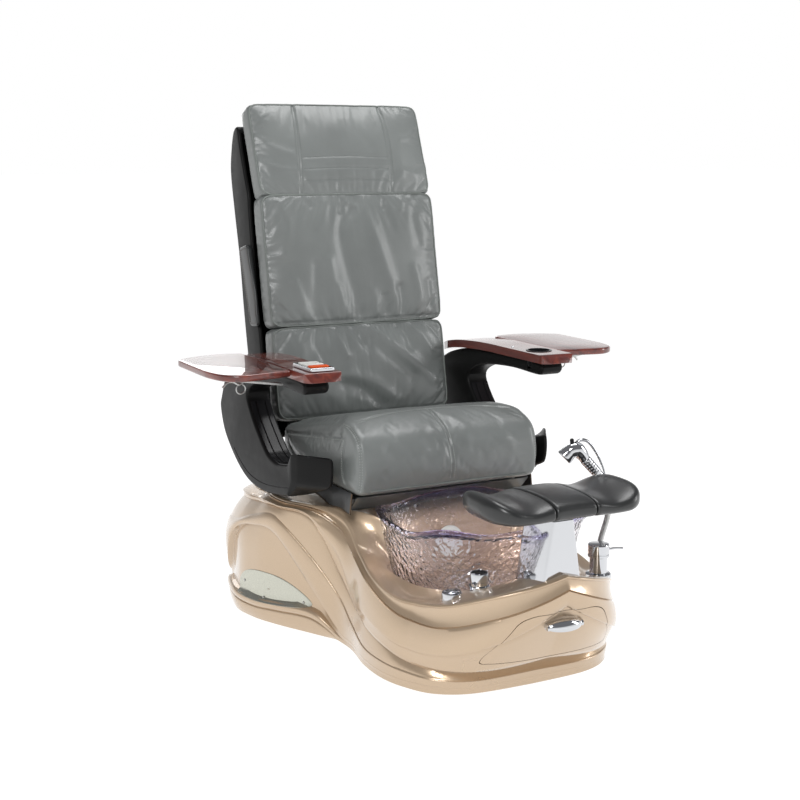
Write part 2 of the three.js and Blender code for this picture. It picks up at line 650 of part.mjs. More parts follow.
const driveZ = 371;
const rodEnd = pivot.y - 12;
const driveBore = rod([0, 60, driveZ], [0, 300, driveZ], 7.6, 7.6, 16);
add('recline_motor', cut(block(-28, 28, 50, 250, driveZ - 14, driveZ + 14), driveBore), blackPlastic);
add('recline_rod', rod([0, 120, driveZ], [0, rodEnd, driveZ], 7, 7, 16), steel);

export default chair;
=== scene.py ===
"""Looks of the pedicure spa chair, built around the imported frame.

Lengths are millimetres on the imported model's axes, +X the sitter's left, -Y the front and +Z up.
They turn into metres when a mesh is made. A mirrored piece is built on the +X side and reflected.
"""

import json
import math

import bmesh
import bpy
import numpy as np
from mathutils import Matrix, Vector
from mathutils.bvhtree import BVHTree


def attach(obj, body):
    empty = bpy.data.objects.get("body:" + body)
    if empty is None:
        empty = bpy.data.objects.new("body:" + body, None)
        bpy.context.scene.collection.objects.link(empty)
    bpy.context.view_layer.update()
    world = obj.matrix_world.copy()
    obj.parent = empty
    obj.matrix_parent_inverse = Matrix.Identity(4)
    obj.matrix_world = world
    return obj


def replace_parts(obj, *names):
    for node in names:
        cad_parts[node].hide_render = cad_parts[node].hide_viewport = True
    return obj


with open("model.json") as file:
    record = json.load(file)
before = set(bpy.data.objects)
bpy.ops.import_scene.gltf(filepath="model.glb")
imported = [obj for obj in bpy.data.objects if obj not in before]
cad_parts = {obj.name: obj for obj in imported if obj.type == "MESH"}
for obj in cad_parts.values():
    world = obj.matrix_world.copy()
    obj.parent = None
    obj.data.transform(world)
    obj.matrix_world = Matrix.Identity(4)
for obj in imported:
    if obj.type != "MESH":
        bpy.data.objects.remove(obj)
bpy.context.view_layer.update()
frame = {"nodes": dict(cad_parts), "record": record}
scene = bpy.context.scene
MM = 0.001


# ---------- camera, stage and light ----------

def make_camera():
    data = bpy.data.cameras.new("camera")
    data.lens = 62.28
    data.sensor_width = 36
    camera = bpy.data.objects.new("camera", data)
    camera.location = (-1.786, -3.299, 1.297)
    camera.rotation_euler = (math.radians(79.95), 0, math.radians(-27.24))
    scene.collection.objects.link(camera)
    scene.camera = camera


def area_light(name, place, target, size, power, tall=None):
    data = bpy.data.lights.new(name, "AREA")
    data.shape = "RECTANGLE"
    data.size = size
    data.size_y = tall or size
    data.energy = power
    lamp = bpy.data.objects.new(name, data)
    lamp.location = place
    lamp.rotation_euler = (Vector(target) - Vector(place)).to_track_quat("-Z", "Y").to_euler()
    scene.collection.objects.link(lamp)


def make_stage():
    world = bpy.data.worlds.new("studio")
    world.use_nodes = True
    scene.world = world
    tree = world.node_tree
    sky = tree.nodes["Background"]
    # White low down all round, darker overhead between the lamps.
    place = tree.nodes.new("ShaderNodeTexCoord")
    split = tree.nodes.new("ShaderNodeSeparateXYZ")
    ramp = tree.nodes.new("ShaderNodeValToRGB")
    ramp.color_ramp.elements[0].position = 0.14
    ramp.color_ramp.elements[0].color = (1, 1, 1, 1)
    ramp.color_ramp.elements[1].position = 0.34
    ramp.color_ramp.elements[1].color = (0.20, 0.20, 0.21, 1)
    tree.links.new(place.outputs["Generated"], split.inputs[0])
    tree.links.new(split.outputs["Z"], ramp.inputs[0])
    tree.links.new(ramp.outputs["Color"], sky.inputs["Color"])
    sky.inputs["Strength"].default_value = 1.0
    area_light("key", (-2.4, -2.4, 2.9), (0, -0.1, 0.5), 1.2, 66)
    area_light("top", (0.5, 0.4, 3.4), (0, 0, 0.5), 1.6, 44)
    area_light("side", (3.0, -1.8, 1.7), (0, -0.1, 0.5), 0.7, 34, 2.2)
    area_light("rear", (0.5, 3.4, 2.2), (0, 0, 0.7), 2.0, 30)
    scene.view_settings.view_transform = "Standard"
    verts = [(-90, -90, 0), (90, -90, 0), (90, 90, 0), (-90, 90, 0)]
    mesh = bpy.data.meshes.new("studio_floor")
    mesh.from_pydata(verts, [], [(0, 1, 2, 3)])
    floor = bpy.data.objects.new("studio_floor", mesh)
    scene.collection.objects.link(floor)
    paint = bpy.data.materials.new("floor_paint")
    paint.use_nodes = True
    shader = paint.node_tree.nodes["Principled BSDF"]
    shader.inputs["Base Color"].default_value = (0.22, 0.22, 0.22, 1)
    shader.inputs["Roughness"].default_value = 0.9
    shader.inputs["Emission Color"].default_value = (1, 1, 1, 1)
    shader.inputs["Emission Strength"].default_value = 0.93
    mesh.materials.append(paint)


make_camera()
make_stage()


# ---------- materials ----------

class Paint:
    """A Principled material with its node tree, laid out in the piece's own coordinates."""

    def __init__(self, name, slot, colour, rough, metal=0.0, coat=0.0):
        self.material = bpy.data.materials.new(name)
        self.material.use_nodes = True
        self.slot = slot
        self.tree = self.material.node_tree
        self.bsdf = self.tree.nodes["Principled BSDF"]
        self.place = self.tree.nodes.new("ShaderNodeTexCoord")
        self.set("Base Color", (*colour, 1))
        self.set("Roughness", rough)
        self.set("Metallic", metal)
        self.set("Coat Weight", coat)
        self.set("Coat Roughness", 0.04)
        self.heights = []

    def set(self, socket, value):
        self.bsdf.inputs[socket].default_value = value

    def link(self, a, b):
        self.tree.links.new(a, b)

    def node(self, kind, **values):
        made = self.tree.nodes.new(kind)
        for key, value in values.items():
            made.inputs[key.replace("_", " ")].default_value = value
        return made

    def coordinates(self, stretch=(1, 1, 1)):
        mapping = self.node("ShaderNodeMapping", Scale=stretch)
        self.link(self.place.outputs["Object"], mapping.inputs["Vector"])
        return mapping.outputs[0]

    def noise(self, scale, detail=3.0, stretch=(1, 1, 1), distortion=0.0):
        made = self.node("ShaderNodeTexNoise", Scale=scale, Detail=detail, Distortion=distortion)
        self.link(self.coordinates(stretch), made.inputs["Vector"])
        return made.outputs["Fac"]

    def cells(self, scale, stretch=(1, 1, 1), feature="F1"):
        made = self.node("ShaderNodeTexVoronoi", Scale=scale)
        made.feature = feature
        self.link(self.coordinates(stretch), made.inputs["Vector"])
        return made.outputs["Distance"]

    def ramp(self, factor, *stops):
        made = self.tree.nodes.new("ShaderNodeValToRGB")
        ramp = made.color_ramp
        while len(ramp.elements) < len(stops):
            ramp.elements.new(0.5)
        for element, (position, colour) in zip(ramp.elements, stops):
            element.position = position
            element.color = (*colour, 1)
        self.link(factor, made.inputs[0])
        return made.outputs["Color"]

    def spread(self, factor, low, high):
        made = self.node("ShaderNodeMapRange", To_Min=low, To_Max=high)
        self.link(factor, made.inputs["Value"])
        return made.outputs[0]

    def colour(self, factor, *stops):
        self.link(self.ramp(factor, *stops), self.bsdf.inputs["Base Color"])

    def rough(self, factor, low, high):
        self.link(self.spread(factor, low, high), self.bsdf.inputs["Roughness"])

    def bump(self, factor, distance, strength=1.0):
        """Adds a bump layer of that depth in millimetres over the layers before it."""
        made = self.node("ShaderNodeBump", Distance=distance * MM, Strength=strength)
        self.link(factor, made.inputs["Height"])
        if self.heights:
            self.link(self.heights[-1], made.inputs["Normal"])
        self.heights.append(made.outputs["Normal"])
        self.link(made.outputs["Normal"], self.bsdf.inputs["Normal"])


def near(colour, factor):
    return tuple(min(1.0, c * factor) for c in colour)


def leather(name, slot, colour, rough=0.36):
    p = Paint(name, slot, colour, rough, coat=0.28)
    p.set("Coat Roughness", 0.26)
    p.colour(p.noise(5, 5), (0.3, near(colour, 0.88)), (0.7, near(colour, 1.12)))
    p.rough(p.noise(9, 4), rough - 0.06, rough + 0.08)
    p.bump(p.noise(16, 3, distortion=0.6), 1.6, 0.5)
    p.bump(p.cells(620), 0.16, 0.5)
    p.bump(p.noise(1500, 2), 0.06, 0.4)
    return p


def moulded(name, slot, colour, rough, grain=0.05):
    p = Paint(name, slot, colour, rough)
    p.set("Specular IOR Level", 0.14)
    p.colour(p.noise(7, 4), (0.3, near(colour, 0.85)), (0.7, near(colour, 1.2)))
    p.rough(p.noise(30, 4), rough - 0.05, rough + 0.07)
    p.bump(p.noise(1300, 3), grain, 0.6)
    return p


def polished(name, slot, colour, rough):
    p = Paint(name, slot, colour, rough, metal=1.0)
    p.rough(p.noise(40, 5), rough * 0.7, rough * 1.6)
    p.bump(p.noise(18, 2), 0.08, 0.3)
    return p


def brushed(name, slot, colour, rough, stretch):
    p = Paint(name, slot, colour, rough, metal=1.0)
    p.colour(p.noise(900, 3, stretch), (0.3, near(colour, 0.82)), (0.7, near(colour, 1.1)))
    p.rough(p.noise(700, 3, stretch), rough - 0.08, rough + 0.12)
    p.bump(p.noise(900, 3, stretch), 0.03, 0.5)
    return p


def gelcoat():
    colour = (0.56, 0.42, 0.285)
    p = Paint("champagne_gelcoat", "gelcoat", colour, 0.28, metal=0.55, coat=1.0)
    p.set("Coat Roughness", 0.035)
    p.colour(p.noise(2600, 2), (0.35, near(colour, 0.90)), (0.65, near(colour, 1.10)))
    p.rough(p.noise(4, 4), 0.24, 0.34)
    p.bump(p.noise(9, 2), 0.35, 0.15)
    return p


def cherry_wood():
    dark, middle, light = (0.055, 0.007, 0.005), (0.12, 0.016, 0.009), (0.20, 0.034, 0.016)
    p = Paint("cherry_lacquer", "cherry", middle, 0.35, coat=1.0)
    p.set("Coat Roughness", 0.02)
    grain = p.noise(38, 6, (1.0, 0.06, 1.0), 1.2)
    p.colour(grain, (0.30, dark), (0.5, middle), (0.70, light))
    p.rough(p.noise(160, 4, (1.0, 0.05, 1.0)), 0.28, 0.46)
    p.bump(p.noise(420, 3, (1.0, 0.04, 1.0)), 0.03, 0.4)
    return p


def hammered_glass():
    """Clear lilac glass, deeper violet near the rim, whose shadow lets light through."""
    p = Paint("hammered_glass", "bowl_glass", (0.86, 0.82, 0.92), 0.03)
    p.set("Transmission Weight", 1.0)
    p.set("IOR", 1.42)
    split = p.tree.nodes.new("ShaderNodeSeparateXYZ")
    p.link(p.place.outputs["Object"], split.inputs[0])
    height = p.node("ShaderNodeMapRange", From_Min=0.345, From_Max=0.385)
    p.link(split.outputs["Z"], height.inputs["Value"])
    p.colour(height.outputs[0], (0.0, (0.95, 0.93, 0.96)), (0.75, (0.90, 0.87, 0.95)),
             (1.0, (0.45, 0.41, 0.70)))
    p.bump(p.cells(62), 2.6, 0.9)
    clear = p.tree.nodes.new("ShaderNodeBsdfTransparent")
    clear.inputs["Color"].default_value = (0.93, 0.90, 0.96, 1)
    path = p.tree.nodes.new("ShaderNodeLightPath")
    mix = p.tree.nodes.new("ShaderNodeMixShader")
    p.link(path.outputs["Is Shadow Ray"], mix.inputs["Fac"])
    p.link(p.bsdf.outputs[0], mix.inputs[1])
    p.link(clear.outputs[0], mix.inputs[2])
    p.link(mix.outputs[0], p.tree.nodes["Material Output"].inputs["Surface"])
    return p


def foam_skin():
    colour = (0.017, 0.018, 0.018)
    p = Paint("black_foam_skin", "black_foam", colour, 0.32, coat=0.35)
    p.set("Coat Roughness", 0.22)
    p.colour(p.noise(8, 4), (0.3, near(colour, 0.8)), (0.7, near(colour, 1.3)))
    p.rough(p.noise(25, 4), 0.30, 0.45)
    p.bump(p.noise(700, 3), 0.09, 0.6)
    return p


PAINTS = {
    "gelcoat": gelcoat(),
    "leather": leather("grey_leather_hide", "grey_leather", (0.160, 0.172, 0.167)),
    "hide": leather("black_leather_hide", "dark_leather", (0.022, 0.024, 0.025), 0.36),
    "apron": leather("slate_leather_hide", "dark_leather", (0.055, 0.062, 0.062), 0.42),
    "plastic": moulded("black_moulding", "black_plastic", (0.006, 0.006, 0.006), 0.42),
    "gloss": moulded("black_gloss_trim", "black_plastic", (0.012, 0.012, 0.013), 0.16, 0.01),
    "white": moulded("white_moulding", "white_plastic", (0.72, 0.72, 0.69), 0.40),
    "orange": moulded("orange_key", "orange_plastic", (0.75, 0.10, 0.02), 0.35),
    "screen": moulded("keypad_face", "black_plastic", (0.05, 0.06, 0.065), 0.20, 0.01),
    "cherry": cherry_wood(),
    "chrome": polished("polished_chrome", "chrome", (0.64, 0.65, 0.67), 0.06),
    "steel": brushed("satin_steel", "steel", (0.52, 0.52, 0.51), 0.30, (1, 1, 0.06)),
    "plate": brushed("brushed_plate_face", "brushed_plate", (0.62, 0.62, 0.54), 0.34, (1, 0.05, 1)),
    "glass": hammered_glass(),
    "foam": foam_skin(),
    "piping": moulded("grey_piping", "grey_leather", (0.17, 0.185, 0.175), 0.42, 0.03),
    "thread": moulded("grey_thread", "grey_leather", (0.36, 0.38, 0.36), 0.6, 0.02),
    "brown_piping": moulded("brown_piping_cord", "dark_leather", (0.10, 0.07, 0.045), 0.45, 0.03),
}


def dress(obj, paint):
    chosen = PAINTS[paint]
    obj.data.materials.clear()
    obj.data.materials.append(chosen.material)


# ---------- mesh helpers ----------

def link_mesh(name, verts, faces):
    mesh = bpy.data.meshes.new(name)
    mesh.from_pydata((np.asarray(verts, float) * MM).tolist(), [], faces)
    mesh.validate()
    shape = bmesh.new()
    shape.from_mesh(mesh)
    bmesh.ops.recalc_face_normals(shape, faces=shape.faces)
    shape.to_mesh(mesh)
    shape.free()
    obj = bpy.data.objects.new(name, mesh)
    scene.collection.objects.link(obj)
    return obj


def smooth(obj, angle=38.0):
    obj.data.shade_smooth()
    obj.data.set_sharp_from_angle(angle=math.radians(angle))


def piece(name, shape, paint, body, angle=38.0):
    obj = link_mesh(name, *shape)
    smooth(obj, angle)
    dress(obj, paint)
    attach(obj, body)
    return obj


def mirrored(shape):
    verts, faces = shape
    flipped = np.asarray(verts, float) * (-1, 1, 1)
    return flipped, [tuple(reversed(f)) for f in faces]


def both(name, shape, paint, bodies, angle=38.0):
    """The piece on the +X side, called left, and its mirror image, called right."""
    left_body, right_body = bodies
    left = piece(f"{name}_left", shape, paint, left_body, angle)
    right = piece(f"{name}_right", mirrored(shape), paint, right_body, angle)
    return left, right


def merged(*shapes):
    verts, faces, start = [], [], 0
    for v, f in shapes:
        verts.append(np.asarray(v, float))
        faces += [tuple(i + start for i in face) for face in f]
        start += len(v)
    return np.concatenate(verts), faces


def loft(rings, closed=False, caps=True):
    rings = np.asarray(rings, float)
    rows, size = rings.shape[:2]
    faces = []
    for i in range(rows if closed else rows - 1):
        a, b = i * size, ((i + 1) % rows) * size
        faces += [(a + j, a + (j + 1) % size, b + (j + 1) % size, b + j) for j in range(size)]
    if caps and not closed:
        faces.append(tuple(range(size - 1, -1, -1)))
        faces.append(tuple(range((rows - 1) * size, rows * size)))
    return rings.reshape(-1, 3), faces


def spline(points, count, closed=False):
    """Evenly spaced points on a smooth curve through the given ones."""
    p = np.asarray(points, float)
    if closed:
        p = np.vstack([p[-1], p, p[0], p[1]])
    else:
        p = np.vstack([2 * p[0] - p[1], p, 2 * p[-1] - p[-2]])
    fine = []
    for a, b, c, d in zip(p, p[1:], p[2:], p[3:]):
        for u in np.linspace(0, 1, 24, endpoint=False):
            fine.append(0.5 * (2 * b + (c - a) * u + (2 * a - 5 * b + 4 * c - d) * u**2
                               + (3 * b - a - 3 * c + d) * u**3))
    fine.append(p[-2])
    fine = np.array(fine)
    steps = np.r_[0, np.cumsum(np.linalg.norm(np.diff(fine, axis=0), axis=1))]
    wanted = np.linspace(0, steps[-1], count, endpoint=not closed)
    return np.stack([np.interp(wanted, steps, fine[:, k]) for k in range(p.shape[1])], 1)


def denser(outline, step):
    """The closed outline with points added along its long straight sides."""
    out = []
    p = np.asarray(outline, float)
    for a, b in zip(p, np.roll(p, -1, axis=0)):
        count = max(1, int(np.linalg.norm(b - a) / step))
        out += [a + (b - a) * i / count for i in range(count)]
    return np.array(out)


def rounded(outline, radius, steps=5):
    """The closed outline with its corners turned into arcs."""
    p = np.asarray(outline, float)
    out = []
    for before, here, after in zip(np.roll(p, 1, axis=0), p, np.roll(p, -1, axis=0)):
        reach = min(radius, 0.45 * np.linalg.norm(before - here), 0.45 * np.linalg.norm(after - here))
        start = here + (before - here) / np.linalg.norm(before - here) * reach
        end = here + (after - here) / np.linalg.norm(after - here) * reach
        for u in np.linspace(0, 1, steps):
            out.append((1 - u) ** 2 * start + 2 * u * (1 - u) * here + u * u * end)
    return np.array(out)


def inset(outline, amount):
    """The closed outline moved inwards."""
    p = np.asarray(outline, float)
    before = p - np.roll(p, 1, axis=0)
    after = np.roll(p, -1, axis=0) - p
    area = np.sum(p[:, 0] * np.roll(p[:, 1], -1) - p[:, 1] * np.roll(p[:, 0], -1))
    turn = 1 if area > 0 else -1

    def inward(edge):
        length = np.maximum(np.linalg.norm(edge, axis=1, keepdims=True), 1e-9)
        return np.stack([-edge[:, 1], edge[:, 0]], 1) / length * turn

    a, b = inward(before), inward(after)
    n = a + b
    n /= np.maximum(np.linalg.norm(n, axis=1, keepdims=True), 1e-9)
    stretch = 1 / np.maximum(np.sum(n * a, axis=1, keepdims=True), 0.55)
    return p + n * amount * stretch


def in_plan(a, b, d):
    return np.stack([a, b, np.full_like(a, d)], 1)


def from_side(a, b, d):
    return np.stack([np.full_like(a, d), a, b], 1)


def from_front(a, b, d):
    return np.stack([a, np.full_like(a, d), b], 1)


def slab(outline, low, high, radius, place, steps=4):
    """A closed outline given depth from low to high, with rounded edges."""
    turns = np.linspace(0, math.pi / 2, steps + 1)
    rows = [(radius * (1 - math.sin(t)), low + radius * (1 - math.cos(t))) for t in turns]
    rows += [(r, low + high - d) for r, d in reversed(rows)]
    rings = []
    for r, d in rows:
        edge = inset(outline, r)
        rings.append(place(edge[:, 0], edge[:, 1], d))
    return loft(rings)


def frames_along(path):
    """Directions across a path, turned as little as possible from point to point."""
    tangent = np.gradient(path, axis=0)
    tangent /= np.linalg.norm(tangent, axis=1, keepdims=True)
    side = np.cross(tangent[0], (0, 0, 1) if abs(tangent[0][2]) < 0.9 else (1, 0, 0))
    sides, ups = [], []
    for t in tangent:
        side = side - t * np.dot(side, t)
        side /= np.linalg.norm(side)
        sides.append(side)
        ups.append(np.cross(t, side))
    return np.array(sides), np.array(ups)


def sweep(path, radius, sides=14, flat=1.0):
    """A round or flattened bar along a path, of one radius or one for each point."""
    path = np.asarray(path, float)
    radius = np.broadcast_to(np.asarray(radius, float), (len(path),))
    across, up = frames_along(path)
    turn = np.linspace(0, 2 * math.pi, sides, endpoint=False)
    rings = [c + r * (np.outer(np.cos(turn), a) + flat * np.outer(np.sin(turn), b))
             for c, r, a, b in zip(path, radius, across, up)]
    return loft(rings)


def lathe(profile, centre, axis=(0, 0, 1), sides=40):
    """Rings of (radius, height) about an axis through centre."""
    turn = np.linspace(0, 2 * math.pi, sides, endpoint=False)
    spin = np.array(Vector((0, 0, 1)).rotation_difference(Vector(axis)).to_matrix())
    rings = []
    for r, h in profile:
        ring = np.stack([r * np.cos(turn), r * np.sin(turn), np.full(sides, h)], 1)
        rings.append(ring @ spin.T + centre)
    return loft(rings)


def turned_ring(profile, centre, sides):
    """A lathe shape whose section closes on itself, open through the middle."""
    verts, faces = lathe(profile, centre, sides=sides)
    last = (len(profile) - 1) * sides
    joining = [(last + j, last + (j + 1) % sides, (j + 1) % sides, j) for j in range(sides)]
    return verts, faces[:last] + joining


def domed(radius, low, high, bevel=1.5):
    """A lathe profile of a short cylinder with a softened upper edge."""
    return [(radius, low), (radius, high - bevel), (radius - bevel * 0.3, high - bevel * 0.3),
            (radius - bevel, high), (0.5, high)]


def carve(obj, tool, keep=False):
    """Cuts the tool's shape out of obj, or keeps only what lies in both."""
    cutter = link_mesh("cutter", *tool)
    change = obj.modifiers.new("cut", "BOOLEAN")
    change.operation = "INTERSECT" if keep else "DIFFERENCE"
    change.solver = "EXACT"
    change.object = cutter
    bake(obj)
    bpy.data.objects.remove(cutter)


def bake(obj):
    """Applies the modifiers of obj."""
    evaluated = obj.evaluated_get(bpy.context.evaluated_depsgraph_get())
    mesh = bpy.data.meshes.new_from_object(evaluated)
    obj.modifiers.clear()
    obj.data = mesh


def soften(obj, width, segments=3, angle=35):
    change = obj.modifiers.new("edges", "BEVEL")
    change.width = width * MM
    change.segments = segments
    change.limit_method = "ANGLE"
    change.angle_limit = math.radians(angle)


def ease(x, low, high):
    """0 below low, 1 above high and a smooth rise between."""
    t = np.clip((np.asarray(x, float) - low) / (high - low), 0, 1)
    return t * t * (3 - 2 * t)


# ---------- base housing ----------

FLOOR_GAP = 3
DECK_FLAT = 352
BOWL = (0, -290)
WELL = (232, 176, 240)
BOWL_SQUARENESS = 0.68
HALF_STATIONS = 210


def squared(share):
    """A sine or cosine drawn towards a square, as the bowl's oval is."""
    return np.sign(share) * np.abs(share) ** BOWL_SQUARENESS


# Half of the base seen from above, from the middle of the back to the middle of the front.
# Each row: x, y, then the heights of the moulded lines there: plinth, recess, lower groove,
# upper groove, ledge, panel line, channel line and deck rim.
BASE_ROWS = np.array([
    [0, 575, 45, 50, 58, 225, 285, 305, 325, 345],
    [250, 572, 45, 50, 58, 228, 288, 308, 328, 346],
    [392, 515, 43, 52, 64, 240, 300, 318, 334, 348],
    [448, 360, 40, 150, 232, 264, 318, 332, 344, 355],
    [438, 245, 38, 205, 272, 300, 330, 342, 350, 358],
    [400, 145, 44, 185, 264, 312, 338, 347, 353, 360],
    [344, 35, 46, 88, 140, 228, 322, 340, 350, 360],
    [302, -55, 10, 22, 36, 136, 188, 252, 312, 340],
    [300, -135, 8, 16, 26, 80, 122, 172, 258, 276],
    [318, -245, 8, 15, 24, 54, 100, 148, 226, 244],
    [318, -345, 8, 15, 24, 50, 84, 128, 196, 226],
    [296, -425, 8, 15, 24, 46, 68, 112, 178, 220],
    [250, -498, 8, 15, 24, 41, 60, 116, 180, 234],
    [160, -540, 8, 15, 24, 39, 57, 160, 222, 276],
    [0, -548, 8, 16, 25, 42, 60, 246, 286, 320],
], float)
NOSE_HALF = 290
NOSE_START = -400


def base_row(t):
    """All the columns at a place t, 0 at the back's middle and 1 at the front's middle."""
    place = min(max(t, 0), 1) * (len(BASE_ROWS) - 1)
    i = min(int(place), len(BASE_ROWS) - 2)
    k = place - i
    a, b, c, d = (BASE_ROWS[min(max(n, 0), len(BASE_ROWS) - 1)] for n in range(i - 1, i + 3))
    m0, m1 = (c - a) / 2, (d - b) / 2
    return ((2 * k**3 - 3 * k**2 + 1) * b + (k**3 - 2 * k**2 + k) * m0
            + (3 * k**2 - 2 * k**3) * c + (k**3 - k**2) * m1)


def between(start, end, count, bulge_side=0.0, bulge_nose=0.0):
    """Section points from start to end, without end, bulging out in the middle."""
    a, b = np.array(start, float), np.array(end, float)
    out = []
    for u in np.arange(count) / count:
        p = a + (b - a) * u
        p[0] += bulge_side * 4 * u * (1 - u)
        p[1] += bulge_nose * 4 * u * (1 - u)
        out.append(p)
    return out


def side_profile(row):
    """The moulded side from the floor up: outward step on the flank, on the nose, and height."""
    plinth, _, lower, upper, ledge, panel, channel, rim = row[2:]
    opening = float(ease(lower - plinth, 12, 80))
    depth = 15 * opening
    lip = min(22, 0.3 * (lower - plinth))
    foot = ledge + 0.19 * (panel - ledge)
    broad = float(ease(panel - ledge, 30, 90))
    rise = float(ease(rim - channel, 8, 30))
    p = between((-6, 0, FLOOR_GAP), (0, 2, plinth - 3), 5, 2)
    p += [(0, 2, plinth - 3), (-1.2 * opening, 2, plinth - 1.2), (-3 * opening, 2, plinth)]
    p += between((-1 * opening, 2, plinth + 0.08 * lip), (1 * opening, 3, plinth + lip), 6, 4 * opening)
    p += [(-1 * opening, 3, plinth + 1.08 * lip), (-0.5 * depth, 3, plinth + 1.16 * lip)]
    p += between((-depth, 3, plinth + 1.3 * lip), (-depth + 1, 5, lower - 3), 10, -3 * opening)
    p += [(-depth + 1, 5, lower - 3), (-0.8 * depth, 5, lower - 1.5), (0, 5, lower - 0.4)]
    p += between((2.5, 5, lower + 1), (4, 9, upper - 1.5), 10, 5 * opening)
    p += [(4, 9, upper - 1.5), (3, 8, upper)]
    p += between((1, 6, upper + 1.2), (-8, -9, ledge - 1), 8, 1.5, -1)
    p += [(-8, -9, ledge - 1), (-9, -9, ledge + 0.6)]
    p += between((-7, -6, ledge + 2.5), (-5, 70, foot), 6, 0, -8)
    p += between((-5, 70, foot), (-1, 138, panel - 4), 10, -5 * broad, 2)
    p += [(-3, 136, panel - 4), (-2.5, 136, panel - 2), (6.5, 142, panel - 0.4)]
    p += between((7, 144, panel + 1.5), (-6, 153, channel - 1), 10, 7 * broad + 2, 3)
    p += [(-6, 153, channel - 1), (-13, 148, channel + 0.4), (-14, 147, channel + 2.4)]
    p += between((-10, 151, channel + 3.4), (-21, 141, rim - 7), 8, -5 * rise, -1)
    p += [(-21, 141, rim - 7), (-18.5, 143, rim - 5.5), (-16.5, 145, rim - 3.5), (-17, 145, rim - 1.2)]
    return p + [(-19, 143, rim + 0.4)]


def rear_lean(y, z):
    """How far the rear half leans inwards at a height."""
    return 72 * max(0.0, (z - 190) / 155) ** 2 * float(ease(y, 90, 340))


def housing_section(t, sign):
    row = base_row(t)
    x, y = row[:2]
    ahead, behind = base_row(t + 0.01), base_row(t - 0.01)
    normal = np.array([behind[1] - ahead[1], ahead[0] - behind[0]])
    normal /= np.linalg.norm(normal)
    share = max(0.0, 1 - (x / NOSE_HALF) ** 2) if y < NOSE_START else 0.0
    section = []
    for flank, nose, z in side_profile(row):
        out = flank * (1 - share) - rear_lean(y, z)
        section.append((x + normal[0] * out, y + normal[1] * out - share * nose, z))
    rim = np.array(section[-1])
    turn = math.atan2(rim[1] - BOWL[1], rim[0])
    rear = float(ease(rim[1], -80, 60))

    def well(grow, z):
        across, along = squared(math.cos(turn)), squared(math.sin(turn))
        return np.array([(WELL[0] + grow) * across, BOWL[1] + (WELL[1] + grow) * along, z])

    middle = rim + (well(0, WELL[2]) - rim) * (0.55 + 0.3 * rear)
    middle[2] = (1 - rear) * (rim[2] * 0.75 + WELL[2] * 0.25 - 4) + rear * (DECK_FLAT - 4)
    inner_rim = rim + (well(0, WELL[2]) - rim) * 0.06
    inner_rim[2] = rim[2] + 0.6
    deck = spline([rim, inner_rim, middle, well(6, WELL[2])], 26)
    section += [tuple(p) for p in deck[1:]]
    section.append(tuple(well(4, WELL[2] - 6)))
    section.append(tuple(well(6, WELL[2] - 12)))
    section.append((middle[0], middle[1], middle[2] - 14))
    for flank, z in ((-44, rim[2] - 20), (-50, row[5]), (-26, FLOOR_GAP)):
        push = flank * (1 - share) - rear_lean(y, z)
        forward = share * (120 if z > 200 else 0) - share * 44 * (z < 200)
        section.append((x + normal[0] * push, y + normal[1] * push - forward, z))
    return [(px * sign, py, pz) for px, py, pz in section]


def housing_shape():
    rings = []
    for i in range(HALF_STATIONS * 2):
        t = i / HALF_STATIONS
        rings.append(housing_section(t, 1) if t <= 1 else housing_section(2 - t, -1))
    return loft(rings, closed=True)


def drawer_outline(grow):
    low, high, wide, narrow, bend = 100 - grow, 232 + grow, 182 + grow, 92 + grow, 26
    corners = [(-wide, low), (wide, low), (wide - 6, low + bend), (narrow + bend, high - 14),
               (narrow - 10, high), (-narrow + 10, high), (-narrow - bend, high - 14), (-wide + 6,
                                                                                        low + bend)]
    return denser(rounded(corners, 24, 7), 6)


def base_pieces():
    whole = housing_shape()
    housing = piece("base_moulding", whole, "gelcoat", "base", 50)
    carve(housing, slab(drawer_outline(1.4), -760, -470, 0.0, from_front, 1))
    smooth(housing, 50)
    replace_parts(housing, "base_housing")
    front = piece("drawer_panel", whole, "gelcoat", "drawer", 50)
    carve(front, slab(drawer_outline(0), -760, -470, 0.0, from_front, 1), keep=True)
    smooth(front, 50)
    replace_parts(front, "drawer_front")


base_pieces()


# ---------- soft goods: tools ----------

def points_of(obj):
    flat = np.empty(len(obj.data.vertices) * 3)
    obj.data.vertices.foreach_get("co", flat)
    return flat.reshape(-1, 3) / MM


def normals_of(obj):
    flat = np.empty(len(obj.data.vertices) * 3)
    obj.data.vertices.foreach_get("normal", flat)
    return flat.reshape(-1, 3)


def move_to(obj, points):
    obj.data.vertices.foreach_set("co", (points * MM).ravel())
    obj.data.update()


